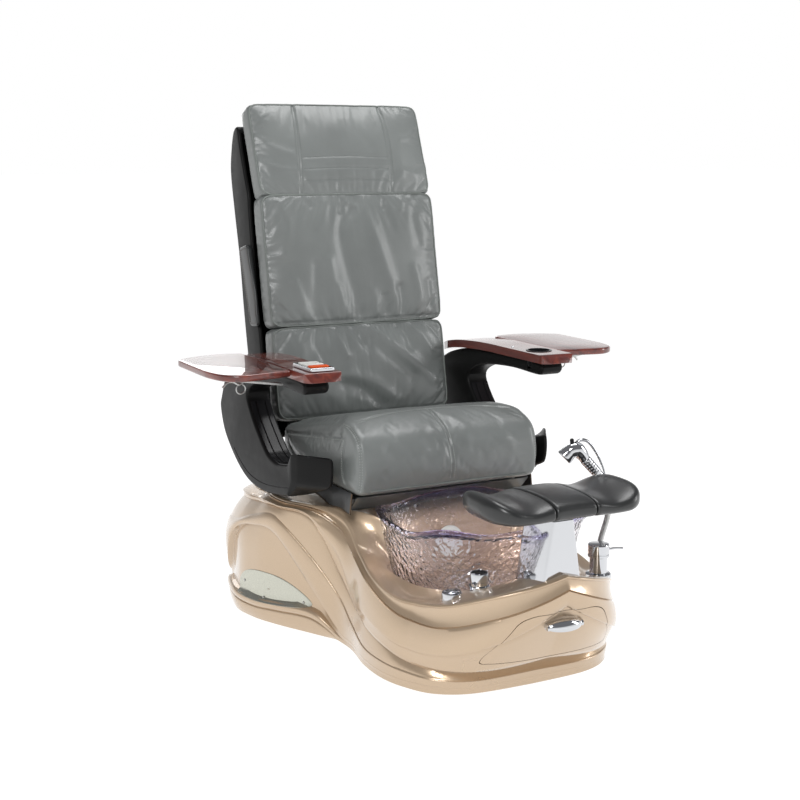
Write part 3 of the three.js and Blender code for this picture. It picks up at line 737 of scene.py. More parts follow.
def inflate(obj, pinned, cap, grow, voxel=6.0, pressure=4.0):
    """Remeshes a padded form, swells it as cloth under pressure and gives it one subdivision."""
    change = obj.modifiers.new("remesh", "REMESH")
    change.mode = "VOXEL"
    change.voxel_size = voxel * MM
    bake(obj)
    start = points_of(obj)
    group = obj.vertex_groups.new(name="pinned")
    group.add(np.flatnonzero(pinned(start)).tolist(), 1.0, "REPLACE")
    cloth = obj.modifiers.new("cloth", "CLOTH")
    cloth.settings.quality = 5
    cloth.settings.use_pressure = True
    cloth.settings.uniform_pressure_force = pressure
    cloth.settings.vertex_group_mass = "pinned"
    cloth.settings.shrink_min = -grow
    cloth.settings.effector_weights.gravity = 0
    cloth.collision_settings.use_collision = False
    cloth.point_cache.frame_start = 1
    cloth.point_cache.frame_end = 20
    for step in range(1, 21):
        scene.frame_set(step)
    bake(obj)
    scene.frame_set(1)
    obj.vertex_groups.clear()
    move = points_of(obj) - start
    length = np.maximum(np.linalg.norm(move, axis=1, keepdims=True), 1e-6)
    move_to(obj, start + move * cap * np.tanh(length / cap) / length)
    change = obj.modifiers.new("finer", "SUBSURF")
    change.levels = 1
    change.render_levels = 1
    bake(obj)
    obj.data.shade_smooth()


def surface_tree(obj):
    faces = [tuple(f.vertices) for f in obj.data.polygons]
    return BVHTree.FromPolygons(points_of(obj).tolist(), faces)


def laid_on(tree, path, away, lift=0.0):
    """The path moved onto the surface, seen from the away side, with the surface's normals."""
    away = np.broadcast_to(np.asarray(away, float), np.shape(path))
    hits, normals = [], []
    for point, out in zip(np.asarray(path, float), away):
        out = out / np.linalg.norm(out)
        hit, normal, _, _ = tree.ray_cast(Vector(point + out * 90), Vector(-out), 260)
        if hit is not None:
            hits.append(np.array(hit) + np.array(normal) * lift)
            normals.append(np.array(normal))
    return np.array(hits), np.array(normals)


def distance_to(points, path):
    best = np.full(len(points), 1e9)
    for a, b in zip(path, path[1:]):
        along = b - a
        share = np.clip((points - a) @ along / max(along @ along, 1e-9), 0, 1)
        best = np.minimum(best, np.linalg.norm(points - a - share[:, None] * along, axis=1))
    return best


def press(obj, path, amount, width):
    """Moves the surface out by amount along the path, fading away over width."""
    points = points_of(obj)
    near_path = np.all((points > path.min(0) - 3 * width) & (points < path.max(0) + 3 * width), axis=1)
    chosen = np.flatnonzero(near_path)
    if len(chosen):
        share = np.exp(-(distance_to(points[chosen], path) / width) ** 2)
        points[chosen] += normals_of(obj)[chosen] * (amount * share)[:, None]
        move_to(obj, points)


def press_along(obj, tree, path, away, amount, width):
    """Presses a seam or a fold along a path laid on the surface as it was in the tree."""
    hits, _ = laid_on(tree, path, away)
    if len(hits) > 1:
        press(obj, hits, amount, width)


def evenly(path, step):
    """The same path with points at one even spacing."""
    path = np.asarray(path, float)
    along = np.r_[0, np.cumsum(np.linalg.norm(np.diff(path[:, :3], axis=0), axis=1))]
    wanted = np.linspace(0, along[-1], max(2, int(along[-1] / step) + 1))
    return np.stack([np.interp(wanted, along, path[:, k]) for k in range(path.shape[1])], 1)


STITCH_PITCH = 6.5
STITCH_LENGTH = 4.4


def stitch_shapes(path, normals):
    """Small tapered stitches lying along a path of evenly spaced points."""
    shapes = []
    tangent = np.gradient(path, axis=0)
    for here, t, n in zip(path, tangent, normals):
        t = t / max(np.linalg.norm(t), 1e-9)
        across = np.cross(t, n)
        rings = []
        for shift, r in ((-0.5, 0.25), (-0.2, 0.62), (0.2, 0.62), (0.5, 0.25)):
            turn = np.linspace(0, 2 * math.pi, 6, endpoint=False)
            centre = here + t * shift * STITCH_LENGTH
            rings.append(centre + r * (np.outer(np.cos(turn), across) + 0.8 * np.outer(np.sin(turn), n)))
        shapes.append(loft(rings))
    return shapes


def sewn(name, obj, body, rows, paint="thread"):
    """Rows of stitches on obj. A row is a path and the direction that it is seen from."""
    tree = surface_tree(obj)
    shapes = []
    for path, away in rows:
        both_ways = np.column_stack([path, np.broadcast_to(away, np.shape(path))])
        spread = evenly(both_ways, STITCH_PITCH)
        hits, normals = laid_on(tree, spread[:, :3], spread[:, 3:], 0.35)
        if len(hits) > 1:
            shapes += stitch_shapes(hits, normals)
    return piece(name, merged(*shapes), paint, body, 60)


def ring_cord(path, radius, up, sides=8):
    """A closed loop of cord whose section keeps one side towards up."""
    tangent = np.roll(path, -1, axis=0) - np.roll(path, 1, axis=0)
    tangent /= np.linalg.norm(tangent, axis=1, keepdims=True)
    across = np.cross(tangent, up)
    across /= np.linalg.norm(across, axis=1, keepdims=True)
    top = np.cross(across, tangent)
    turn = np.linspace(0, 2 * math.pi, sides, endpoint=False)
    rings = [c + radius * (np.outer(np.cos(turn), a) + np.outer(np.sin(turn), b))
             for c, a, b in zip(path, across, top)]
    return loft(rings, closed=True)


CUSHION_CUTS = 44


def cushion_block(size, radius):
    """A closed box surface with rounded edges, centred on the origin."""
    mesh = bmesh.new()
    bmesh.ops.create_cube(mesh, size=2)
    bmesh.ops.subdivide_edges(mesh, edges=mesh.edges[:], cuts=CUSHION_CUTS, use_grid_fill=True)
    half = np.array(size, float) / 2
    points = np.array([v.co for v in mesh.verts]) * half
    mesh.verts.index_update()
    faces = [tuple(v.index for v in f.verts) for f in mesh.faces]
    mesh.free()
    core = np.clip(points, radius - half, half - radius)
    away = points - core
    length = np.maximum(np.linalg.norm(away, axis=1, keepdims=True), 1e-9)
    return core + away / length * radius, faces


# ---------- back pads ----------

class Panel:
    """A padded panel with its own directions: across, up its front line and out of its front."""

    def __init__(self, low, high, half, thick):
        self.half, self.thick = half, thick
        low, high = np.array(low, float), np.array(high, float)
        self.length = np.linalg.norm(high - low)
        self.low = low
        self.way = (high - low) / self.length
        self.out = np.array([-self.way[1], self.way[0]])
        self.front = np.array([0, *self.out])

    def world(self, points):
        a, b, c = np.asarray(points, float).T
        side = self.low + np.outer(b, self.way) + np.outer(c, self.out)
        return np.column_stack([a, side])

    def own(self, points):
        side = points[:, 1:] - self.low
        return np.column_stack([points[:, 0], side @ self.way, side @ self.out])

    def path(self, shares, count=26):
        """A smooth path through shares of the width and height, on the front line's plane."""
        p = np.array([((2 * u - 1) * self.half, v * self.length, 0) for u, v in shares], float)
        return self.world(spline(p, count))


def pad_body(name, node, panel, crown, cap, grow):
    size = (2 * panel.half, panel.length, panel.thick)
    points, faces = cushion_block(size, 13)
    points = points + (0, panel.length / 2, -panel.thick / 2)
    u = points[:, 0] / panel.half
    v = 2 * points[:, 1] / panel.length - 1
    front = ease(points[:, 2], -panel.thick, -4)
    points[:, 2] += front * crown * (1 - u**2) * (1 - v**2) ** 0.5
    corner = np.abs(u) ** 6 * np.abs(v) ** 6
    points[:, 0] -= np.sign(u) * (6 * corner + 2 * (1 - v**2) * np.abs(u) ** 8)
    points[:, 1] -= np.sign(v) * (5 * corner + 1 * (1 - u**2) * np.abs(v) ** 8)
    obj = piece(name, (panel.world(points), faces), "leather", "back")

    def pinned(world):
        own = panel.own(world)
        edge = np.minimum(panel.half - np.abs(own[:, 0]),
                          panel.length / 2 - np.abs(own[:, 1] - panel.length / 2))
        return (own[:, 2] < 14 - panel.thick) | ((edge < 8) & (own[:, 2] > -22))

    inflate(obj, pinned, cap, grow)
    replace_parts(obj, node)
    return obj


def pad_edge(name, obj, panel, inward, radius):
    """Piping round the front edge of a pad."""
    a, b = panel.half - inward, panel.length / 2 - inward
    corners = [(-a, -b), (a, -b), (a, b), (-a, b)]
    loop = denser(rounded(corners, 30, 9), 7)
    path = panel.world(np.column_stack([loop[:, 0], loop[:, 1] + panel.length / 2,
                                        np.full(len(loop), -inward)]))
    side = np.column_stack([loop[:, 0] / panel.half, loop[:, 1] / (panel.length / 2)])
    side = np.sign(side) * np.abs(side) ** 12
    away = np.column_stack([side[:, 0], np.outer(side[:, 1], panel.way)])
    away = away / np.maximum(np.linalg.norm(away, axis=1, keepdims=True), 1e-9) * 0.75 + panel.front
    hits, _ = laid_on(surface_tree(obj), path, away, radius * 0.35)
    return piece(name, ring_cord(hits, radius, panel.front), "piping", "back", 60)


def fold(obj, tree, panel, shares, amount, width):
    inside = [(u, min(max(v, 0.075), 0.925)) for u, v in shares] if width > 5 else shares
    press_along(obj, tree, panel.path(inside), panel.front, amount, width)


PILLOW = Panel((507, 1178), (614, 1450), 283, 66)
MIDDLE = Panel((435, 797), (510, 1185), 286, 70)
LOWER = Panel((388, 528), (438, 800), 286, 66)

# Each fold: the points it passes, as shares of the width and height, then its height and its width.
PILLOW_SEAMS = [
    ([(0.227, 0.0), (0.235, 0.3), (0.248, 0.65), (0.262, 1.0)], -3.2, 4.0),
    ([(0.755, 0.0), (0.768, 0.35), (0.770, 0.7), (0.763, 1.0)], -3.2, 4.0),
]
PILLOW_ROWS = [[(0.262, v), (0.5, v + 0.012), (0.745, v)] for v in (0.39, 0.27, 0.15)]
PILLOW_FOLDS = [
    ([(0.03, 0.62), (0.10, 0.50), (0.20, 0.42)], 2.2, 12),
    ([(0.02, 0.36), (0.12, 0.27), (0.21, 0.25)], 2.0, 11),
    ([(0.30, 0.97), (0.34, 0.72), (0.33, 0.52)], 1.6, 14),
    ([(0.62, 0.97), (0.60, 0.72), (0.66, 0.50)], -1.8, 16),
    ([(0.80, 0.95), (0.84, 0.60), (0.82, 0.2)], 1.8, 16),
    ([(0.97, 0.75), (0.91, 0.62), (0.86, 0.60)], 2.0, 11),
    ([(0.98, 0.30), (0.92, 0.22), (0.84, 0.24)], 2.0, 12),
    ([(0.45, 0.09), (0.52, 0.05), (0.60, 0.10)], -1.6, 10),
]
MIDDLE_FOLDS = [
    ([(0.54, 0.99), (0.43, 0.74), (0.445, 0.43), (0.51, 0.03)], -6.5, 22),
    ([(0.57, 0.92), (0.66, 0.43), (0.73, 0.03)], 6.0, 24), ([(0.745, 0.26), (0.750, 0.03)], -5.0, 13),
    ([(0.27, 0.45), (0.255, 0.22), (0.27, 0.03)], -4.5, 17),
    ([(0.34, 0.48), (0.36, 0.25), (0.38, 0.03)], 4.5, 17),
    ([(0.385, 0.28), (0.43, 0.02)], 3.5, 12), ([(0.14, 0.34), (0.18, 0.16), (0.17, 0.03)], 3.4, 15),
    ([(0.84, 0.40), (0.86, 0.20), (0.84, 0.03)], 3.8, 16), ([(0.92, 0.30), (0.93, 0.10)], -3.0, 12),
    ([(0.58, 0.24), (0.60, 0.04)], 3.2, 13), ([(0.655, 0.20), (0.66, 0.02)], -3.4, 11),
    ([(0.26, 1.0), (0.27, 0.90)], -3.4, 9), ([(0.45, 1.0), (0.44, 0.86)], -3.6, 10),
    ([(0.49, 1.0), (0.52, 0.90)], 3.2, 9), ([(0.70, 1.0), (0.69, 0.88)], -3.8, 10),
    ([(0.80, 1.0), (0.79, 0.86)], 3.2, 10), ([(0.90, 0.98), (0.86, 0.80), (0.88, 0.60)], -2.8, 16),
    ([(0.10, 0.96), (0.13, 0.76), (0.10, 0.55)], 2.6, 17), ([(0.35, 0.95), (0.30, 0.74)], 2.4, 16),
]
LOWER_FOLDS = [
    ([(0.375, 0.345), (0.47, 0.28), (0.60, 0.08)], -8.0, 19),
    ([(0.41, 0.44), (0.53, 0.36), (0.67, 0.14)], 5.5, 20),
    ([(0.55, 0.95), (0.66, 0.78), (0.83, 0.47), (0.90, 0.33)], 6.0, 20),
    ([(0.52, 0.86), (0.62, 0.66), (0.78, 0.38)], -4.2, 18),
    ([(0.25, 0.99), (0.24, 0.80), (0.27, 0.62)], -4.0, 13),
    ([(0.35, 0.99), (0.37, 0.82), (0.40, 0.66)], 4.2, 13),
    ([(0.46, 0.98), (0.49, 0.84), (0.53, 0.72)], -4.4, 13),
    ([(0.72, 0.98), (0.76, 0.84), (0.78, 0.70)], -4.0, 13),
    ([(0.80, 0.98), (0.86, 0.80), (0.90, 0.66)], 4.0, 14),
    ([(0.12, 0.95), (0.15, 0.74), (0.13, 0.5)], 3.2, 16),
    ([(0.16, 0.34), (0.30, 0.22), (0.36, 0.10)], 3.0, 20),
]


def back_pads():
    pillow = pad_body("pillow_pad", "head_pillow", PILLOW, 9, 13, 0.012)
    tree = surface_tree(pillow)
    for shares, amount, width in PILLOW_SEAMS + PILLOW_FOLDS:
        fold(pillow, tree, PILLOW, shares, amount, width)
    for shares in PILLOW_ROWS:
        fold(pillow, tree, PILLOW, shares, -1.8, 4.5)
    rows = []
    for shares, _, _ in PILLOW_SEAMS:
        for shift in (-0.013, 0.013):
            rows.append((PILLOW.path([(u + shift, min(max(v, 0.04), 0.96)) for u, v in shares], 40),
                         PILLOW.front))
    for shares in PILLOW_ROWS:
        rows.append((PILLOW.path(shares, 40), PILLOW.front))
    sewn("pillow_stitches", pillow, "back", rows, "piping")
    pad_edge("pillow_piping", pillow, PILLOW, 13, 2.3)
    for name, node, panel, folds, crown in (
            ("middle_back_pad", "middle_pad", MIDDLE, MIDDLE_FOLDS, 7), ("lower_back_pad", "lower_pad",
                                                                         LOWER, LOWER_FOLDS, 8)):
        pad = pad_body(name, node, panel, crown, 15, 0.022)
        tree = surface_tree(pad)
        for shares, amount, width in folds:
            fold(pad, tree, panel, shares, amount, width)
        pad_edge(f"{name}_piping", pad, panel, 13, 2.6)
        low_row = panel.path([(0.04, 0.035), (0.5, 0.032), (0.96, 0.035)], 40)
        press_along(pad, surface_tree(pad), low_row, panel.front, -2.2, 4.0)
        sewn(f"{name}_stitches", pad, "back", [(low_row + panel.front * 0.1, panel.front)], "piping")


back_pads()


# ---------- seat ----------

SEAT_SIDE = [(-118, 418), (-136, 450), (-138, 510), (-122, 560), (-80, 590), (-20, 600), (120, 578),
             (300, 540),
             (372, 524), (384, 490), (378, 440), (350, 414), (120, 412), (-60, 410)]
SEAT_HALF = 278
SEAT_EDGE = 26


def seat_line(side, inward=0.0):
    """The seat's side line from its top rear edge over the front roll to its lower front edge."""
    line = spline(SEAT_SIDE, 240, closed=True)
    start = int(np.argmin(np.hypot(line[:, 0] - 350, line[:, 1] - 529)))
    order = np.roll(line, -start, axis=0)[::-1]
    stop = int(np.argmin(np.hypot(order[:, 0] + 124, order[:, 1] - 424)))
    run = order[:stop + 1]
    tangent = np.gradient(run, axis=0)
    tangent /= np.linalg.norm(tangent, axis=1, keepdims=True)
    out = np.stack([tangent[:, 1], -tangent[:, 0]], 1)
    if out[0, 1] < 0:
        out = -out
    run = run - out * inward
    path = np.column_stack([np.full(len(run), side), run])
    return path, np.column_stack([np.zeros(len(run)), out])


def seat_pieces():
    side = denser(spline(SEAT_SIDE, 150, closed=True), 8)
    seat = piece("seat_pad", slab(side, -SEAT_HALF, SEAT_HALF, SEAT_EDGE, from_side, 7), "leather", "seat")
    inflate(seat, lambda p: (p[:, 2] < 432) | (p[:, 1] > 352), 13, 0.006, 6.0, 3.0)
    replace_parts(seat, "seat_cushion")
    tree = surface_tree(seat)
    rows = []
    # The middle seam runs over the front roll and meets a bowed seam across the top.
    line, out = seat_line(0)
    ahead = (line[:, 1] < 8) & (line[:, 2] > 440)
    press_along(seat, tree, line[ahead], out[ahead], -4.0, 4.0)
    for shift in (-6, 6):
        rows.append((line[ahead] + (shift, 0, 0), out[ahead]))
    across = np.linspace(-236, 236, 60)
    bow = np.column_stack([across, 10 - 60 * (across / 262) ** 2, np.full(60, 600)])
    press_along(seat, tree, bow, (0, 0, 1), -2.6, 4.0)
    rows.append((bow + (0, -7, 0), (0, 0, 1)))
    for sign in (-1, 1):
        # Side seams: over the roll, along the side box and up its front.
        line, out = seat_line(sign * (SEAT_HALF - SEAT_EDGE), SEAT_EDGE)
        roll = (line[:, 1] < -24) & (line[:, 2] > 432)
        away = out * 0.72 + np.array([sign * 0.7, 0, 0])
        press_along(seat, tree, line[roll], away[roll], -3.0, 4.0)
        for shift in (-0.10, 0.10):
            lean = out * (0.72 + shift) + np.array([sign * (0.7 - shift), 0, 0])
            rows.append((line[roll] + lean[roll] * 3, lean[roll]))
        box_line = np.column_stack([np.full(50, sign * SEAT_HALF), np.linspace(-52, 340, 50),
                                    np.linspace(562, 506, 50)])
        press_along(seat, tree, box_line, (sign, 0, 0), -2.6, 4.0)
        rows.append((box_line + (0, 0, -7), (sign, 0, 0)))
        front_line = np.column_stack([np.full(16, sign * SEAT_HALF), np.full(16, -58.0),
                                      np.linspace(552, 440, 16)])
        press_along(seat, tree, front_line, (sign, 0, 0), -2.2, 4.0)
        rows.append((front_line + (0, 7, 0), (sign, 0, 0)))
    for shares, amount, width in SEAT_FOLDS:
        path = spline(np.array(shares, float), 20)
        press_along(seat, tree, path, (0, -0.5, 0.86), amount, width)
    sewn("seat_stitches", seat, "seat", rows)
    low = np.column_stack([np.linspace(-240, 240, 80), np.full(80, -118.0), np.full(80, 436.0)])
    hits, _ = laid_on(tree, low, (0, -0.8, -0.6), 1.2)
    piece("seat_front_piping", sweep(hits, 2.8, 10), "piping", "seat")


SEAT_FOLDS = [
    ([(70, -140, 520), (90, -132, 500), (96, -136, 470)], -2.0, 13),
    ([(-80, -140, 540), (-98, -134, 505), (-92, -138, 470)], 2.0, 15),
    ([(170, -138, 540), (186, -134, 500), (178, -138, 465)], 2.2, 15),
    ([(-190, -138, 545), (-176, -134, 505), (-196, -138, 470)], -2.0, 15),
    ([(-30, -60, 590), (-60, -100, 575), (-66, -125, 550)], -1.8, 17),
    ([(40, -60, 590), (60, -100, 575), (52, -125, 545)], 1.8, 16),
    ([(-150, 60, 590), (-90, 110, 580), (30, 120, 578)], 1.8, 26),
    ([(120, 40, 595), (60, 120, 578), (-40, 180, 565)], -1.8, 28),
]

seat_pieces()


SHEET_THICK = 2.4


def hanging(rows):
    """A thin closed sheet through rows of points, given thickness along its own normals."""
    grid = np.asarray(rows, float)
    along = np.gradient(grid, axis=1)
    down = np.gradient(grid, axis=0)
    normal = np.cross(along, down)
    normal /= np.maximum(np.linalg.norm(normal, axis=2, keepdims=True), 1e-9)
    count, width = grid.shape[:2]
    half = normal * SHEET_THICK / 2
    verts = np.concatenate([(grid + half).reshape(-1, 3), (grid - half).reshape(-1, 3)])
    faces, back = [], count * width
    for i in range(count - 1):
        for j in range(width - 1):
            a, b = i * width + j, (i + 1) * width + j
            faces.append((a, a + 1, b + 1, b))
            faces.append((a + back, b + back, b + 1 + back, a + 1 + back))
    rim = [j for j in range(width)] + [i * width + width - 1 for i in range(1, count)]
    rim += [(count - 1) * width + j for j in range(width - 2, -1,
                                                   -1)] + [i * width for i in range(count - 2, 0, -1)]
    faces += [(a, b, b + back, a + back) for a, b in zip(rim, rim[1:] + rim[:1])]
    return verts, faces


def seat_skirts():
    """The leather apron under the front of the seat and the skirt on each side."""
    u = np.linspace(0, 1, 90)
    rows = []
    for v in np.linspace(0, 1, 14):
        wave = 2.2 * v * np.sin(u * 19 + 0.7) + 1.4 * v * np.sin(u * 41)
        lift = 7 * v * np.exp(-((u - 0.5) / 0.25) ** 2) + 4 * v * (1 - np.cos(u * 6 * math.pi)) / 2
        rows.append(np.column_stack([-266 + 532 * u, -97 + 46 * v + wave, 407 - 45 * v + lift * 0.3]))
    apron = piece("seat_front_flap", hanging(rows), "apron", "seat")
    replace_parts(apron, "seat_apron")
    hem = rows[-1] + np.array([0, -1.6, 3.0])
    piece("seat_front_flap_hem", sweep(hem, 1.5, 8), "piping", "seat")
    for sign, side_name in ((1, "left"), (-1, "right")):
        rows = []
        for v in np.linspace(0, 1, 12):
            y = np.linspace(-92, 132, 60)
            low = 363 + 8 * ease(np.abs(y + 30), 60, 160) - 3 * np.sin(y / 26)
            z = 418 + (low - 418) * v
            rows.append(np.column_stack([sign * (276 + 6 * v + 1.4 * v * np.sin(y / 15)), y, z]))
        skirt = piece(f"seat_skirt_{side_name}", hanging(rows), "hide", "seat")
        edge = np.vstack([np.array(rows)[:, 0], rows[-1][1:]]) + (sign * 1.6, 0, 0)
        piece(f"seat_skirt_piping_{side_name}", sweep(evenly(edge, 6), 1.9, 8), "brown_piping", "seat")


seat_skirts()


# ---------- arms, wooden tops, trays ----------

ARM_SIDE = [(488, 680), (530, 648), (562, 594), (575, 556), (545, 488), (481, 433), (412, 394), (338, 371),
            (245, 366), (150, 375), (41, 394), (-112, 430), (-148, 452), (-155, 500), (-136, 516), (-60, 503),
            (40, 482), (110, 469), (150, 467), (205, 481), (262, 522), (310, 565), (348, 612), (345, 638),
            (300, 662), (230, 678), (100, 687), (-30, 684), (-60, 690), (-66, 710), (-40, 719), (100, 720),
            (250, 719), (330, 714), (400, 705)]
ARM_IN, ARM_OUT = 326, 398
ARM_INSIDE = [(-122, 513), (-60, 503), (40, 482), (110, 469), (150, 467), (205, 481), (262, 522), (310, 565),
              (340, 606)]
CUP = (358, 0)
CUP_RADIUS = 33


def ribbon(line, low, high, thick):
    """A flat strip on a side line, from low to high across, standing out of it on its left."""
    tangent = np.gradient(line, axis=0)
    tangent /= np.linalg.norm(tangent, axis=1, keepdims=True)
    out = np.stack([-tangent[:, 1], tangent[:, 0]], 1)
    rings = []
    for p, n in zip(line, out):
        base, mid, top = p - n * 1.5, p + n * (thick - 0.7), p + n * thick
        rings.append([(low, *base), (high, *base), (high, *mid), (high - 0.9, *top), (low + 0.9, *top),
                      (low, *mid)])
    return loft(rings)


ROUND_SIDES = 56


def disc(centre, radius, low, high):
    return lathe([(radius, low), (radius, high)], (centre[0], centre[1], 0), sides=ROUND_SIDES)


FOOT = {"from": 60, "tip": -155, "inner": -88, "outer": 30, "top": 600}


def slanted_foot(verts):
    """The arm's foot drawn back on its outer side in a curve."""
    verts = np.array(verts, float)
    low = (verts[:, 2] < FOOT["top"]) & (verts[:, 1] < FOOT["from"])
    share = np.clip((verts[low, 0] - ARM_IN) / (ARM_OUT - ARM_IN), 0, 1)
    end = FOOT["inner"] + (FOOT["outer"] - FOOT["inner"]) * share**2
    stretch = (FOOT["from"] - end) / (FOOT["from"] - FOOT["tip"])
    verts[low, 1] = FOOT["from"] + (verts[low, 1] - FOOT["from"]) * stretch
    return verts


def arms():
    line = spline(ARM_SIDE, 260, closed=True)
    shape = slab(line, ARM_IN, ARM_OUT, 9, from_side, 5)
    shape = (slanted_foot(shape[0]), shape[1])
    body = both("arm_moulding", shape, "plastic", ("seat", "seat"), 30)
    inner_line = inset(line, 25)
    low_run = inner_line[(inner_line[:, 1] < 470) & (inner_line[:, 0] < 470) & (line[:, 1] < 436)]
    low_run = low_run[np.argsort(low_run[:, 0])]
    groove = evenly(np.column_stack([np.full(len(low_run), ARM_OUT), low_run]), 14)
    groove = groove[groove[:, 1] > 44]
    cup = disc(CUP, CUP_RADIUS, 696, 800)
    for obj, sign in zip(body, (1, -1)):
        carve(obj, sweep(groove * (sign, 1, 1), 1.7, 8))
    carve(body[0], cup)
    for obj in body:
        smooth(obj, 30)
    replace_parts(body[0], "arm_left")
    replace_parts(body[1], "arm_right")
    inside = spline(ARM_INSIDE, 90)
    for n, (low, high) in enumerate(((333, 347), (349.5, 374), (376.5, 391))):
        verts, faces = ribbon(inside, low, high, 2.2)
        both(f"arm_inner_panel_{n + 1}", (slanted_foot(verts), faces), "gloss", ("seat", "seat"), 30)


WOOD_IN, WOOD_OUT, WOOD_TOP, WOOD_THICK = 306, 411, 747, 24
WOOD_DROP = [(-109, 0), (100, 0), (200, 0), (300, -4), (400, -13), (500, -33)]


def wooden_tops():
    top = spline(WOOD_DROP, 40)
    upper = np.column_stack([top[:, 0], WOOD_TOP + top[:, 1]])
    lower = np.column_stack([top[::-1, 0], WOOD_TOP - WOOD_THICK + top[::-1, 1] + 0.2])
    side = np.vstack([upper, lower])[::-1]
    side = rounded(side[[0, *range(2, len(side) - 1)]], 1, 2)
    plan = [(WOOD_IN + 27, -109), (WOOD_OUT - 14, -109), (WOOD_OUT, -92), (WOOD_OUT, 440),
            (WOOD_OUT - 20, 500),
            (WOOD_IN + 20, 500), (WOOD_IN, 440), (WOOD_IN, -98)]
    plan = rounded(plan, 7, 5)
    tops = both("arm_board", slab(side, WOOD_IN, WOOD_OUT, 0.2, from_side, 1), "cherry", ("seat", "seat"), 30)
    for obj, sign in zip(tops, (1, -1)):
        outline = plan if sign > 0 else plan[::-1] * (-1, 1)
        carve(obj, slab(outline, 600, 900, 0.0, in_plan, 1), keep=True)
    carve(tops[0], disc(CUP, CUP_RADIUS, 600, 900))
    for obj in tops:
        soften(obj, 4.0, 4, 40)
        smooth(obj, 40)
    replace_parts(tops[0], "arm_top_left")
    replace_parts(tops[1], "arm_top_right")
    ring = [(CUP_RADIUS - 1.2, 704), (CUP_RADIUS - 0.1, 704), (CUP_RADIUS - 0.1, 746.6),
            (CUP_RADIUS + 4.5, 747.1),
            (CUP_RADIUS + 4.2, 748.6), (CUP_RADIUS + 1.0, 749.4), (CUP_RADIUS - 2.2,
                                                                   748.6), (CUP_RADIUS - 2.6, 744)]
    piece("cup_liner", turned_ring(ring, (*CUP, 0), 72), "gloss", "seat", 30)
    piece("cup_floor", lathe(domed(CUP_RADIUS - 0.6, 702.4, 704.2, 0.4), (*CUP, 0)), "gloss", "seat", 30)
    piece("arm_stud", lathe(domed(4.2, 746.8, 749.2, 1.0), (330, 96, 0), sides=24), "chrome", "seat", 30)


TRAY_PLAN = [(415, -15), (440, -22), (500, -36), (556, -42), (598, -12), (616, 50), (620, 120), (620, 276),
             (598, 312), (560, 335), (500, 354), (440, 348), (415, 335)]
TRAY_TOP, TRAY_THICK = 747, 18


def trays():
    corner = TRAY_PLAN[0], TRAY_PLAN[-1]
    curve = spline(TRAY_PLAN, 110)
    outline = denser(np.vstack([curve, [corner[1]], [corner[0]]])[:-2], 12)
    outline[:, 0] = np.minimum(outline[:, 0], 620)
    boards = both("side_tray", slab(outline, TRAY_TOP - TRAY_THICK, TRAY_TOP, 5.5, in_plan, 6), "cherry",
                  ("tray_left", "tray_right"), 50)
    for obj, side_name in zip(boards, ("left", "right")):
        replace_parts(obj, f"tray_{side_name}")
    hook = spline([(500, 100, 723), (501, 100, 708), (513, 100, 699), (529, 100, 707), (546, 100, 706),
                   (560, 100, 694)], 50)
    turn = np.linspace(0, 2 * math.pi, 40, endpoint=False)
    loop = np.column_stack([507 + 13 * np.cos(turn), np.full(40, 106.0), 686 + 13 * np.sin(turn)])
    hooks = both("release_hook", merged(sweep(hook, 3, 14), ring_cord(loop, 1.8, np.array([0, 1.0, 0]),
                                                                      10)), "steel",
                 ("release_left", "release_right"), 50)
    for obj, side_name in zip(hooks, ("left", "right")):
        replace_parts(obj, f"tray_release_{side_name}")


KEY_ROWS = (-54, -22, 10)


def keypad():
    frame_outline = rounded([(-388, -84), (-318, -84), (-318, 38), (-388, 38)], 9, 6)
    hole = rounded([(-382, -78), (-324, -78), (-324, 32), (-382, 32)], 6, 6)
    rim = piece("keypad_frame", slab(frame_outline, 747.3, 757.6, 2.4, in_plan, 4), "chrome", "seat", 35)
    carve(rim, slab(hole, 753, 790, 0.0, in_plan, 1))
    smooth(rim, 35)
    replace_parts(rim, "keypad")
    face = piece("keypad_panel", slab(hole * 0.998, 752.2, 755.2, 0.6, in_plan, 2), "screen", "seat", 35)
    for y in KEY_ROWS:
        well = rounded([(-380.4, y - 11.4), (-325.6, y - 11.4), (-325.6, y + 11.4), (-380.4, y + 11.4)], 4, 5)
        carve(face, slab(well, 740, 790, 0.0, in_plan, 1))
    names = ("power", "massage", "recline")
    for name, y, paint in zip(names, KEY_ROWS, ("orange", "white", "white")):
        key = rounded([(-379.4, y - 10.4), (-326.6, y - 10.4), (-326.6, y + 10.4), (-379.4, y + 10.4)], 4, 6)
        cap = slab(key, 754.4, 760.5, 1.6, in_plan, 5)
        mark = slab(rounded([(-360, y - 3), (-346, y - 3), (-346, y + 3), (-360, y + 3)], 3, 5), 760.0,
                    761.1, 0.5, in_plan, 3)
        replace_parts(piece(f"{name}_key", merged(cap, mark), paint, f"{name}_button", 35), f"{name}_button")


arms()
wooden_tops()
trays()
keypad()


# ---------- foot rest ----------

REST_REACH, REST_HALF, REST_Y = 216, 112, -618


def rest_top(x):
    across = abs(x) / REST_REACH
    return 514 - 12 * math.exp(-((across - 0.52) / 0.2) ** 2) + 10 * math.exp(-((across - 0.9) / 0.14) ** 2)


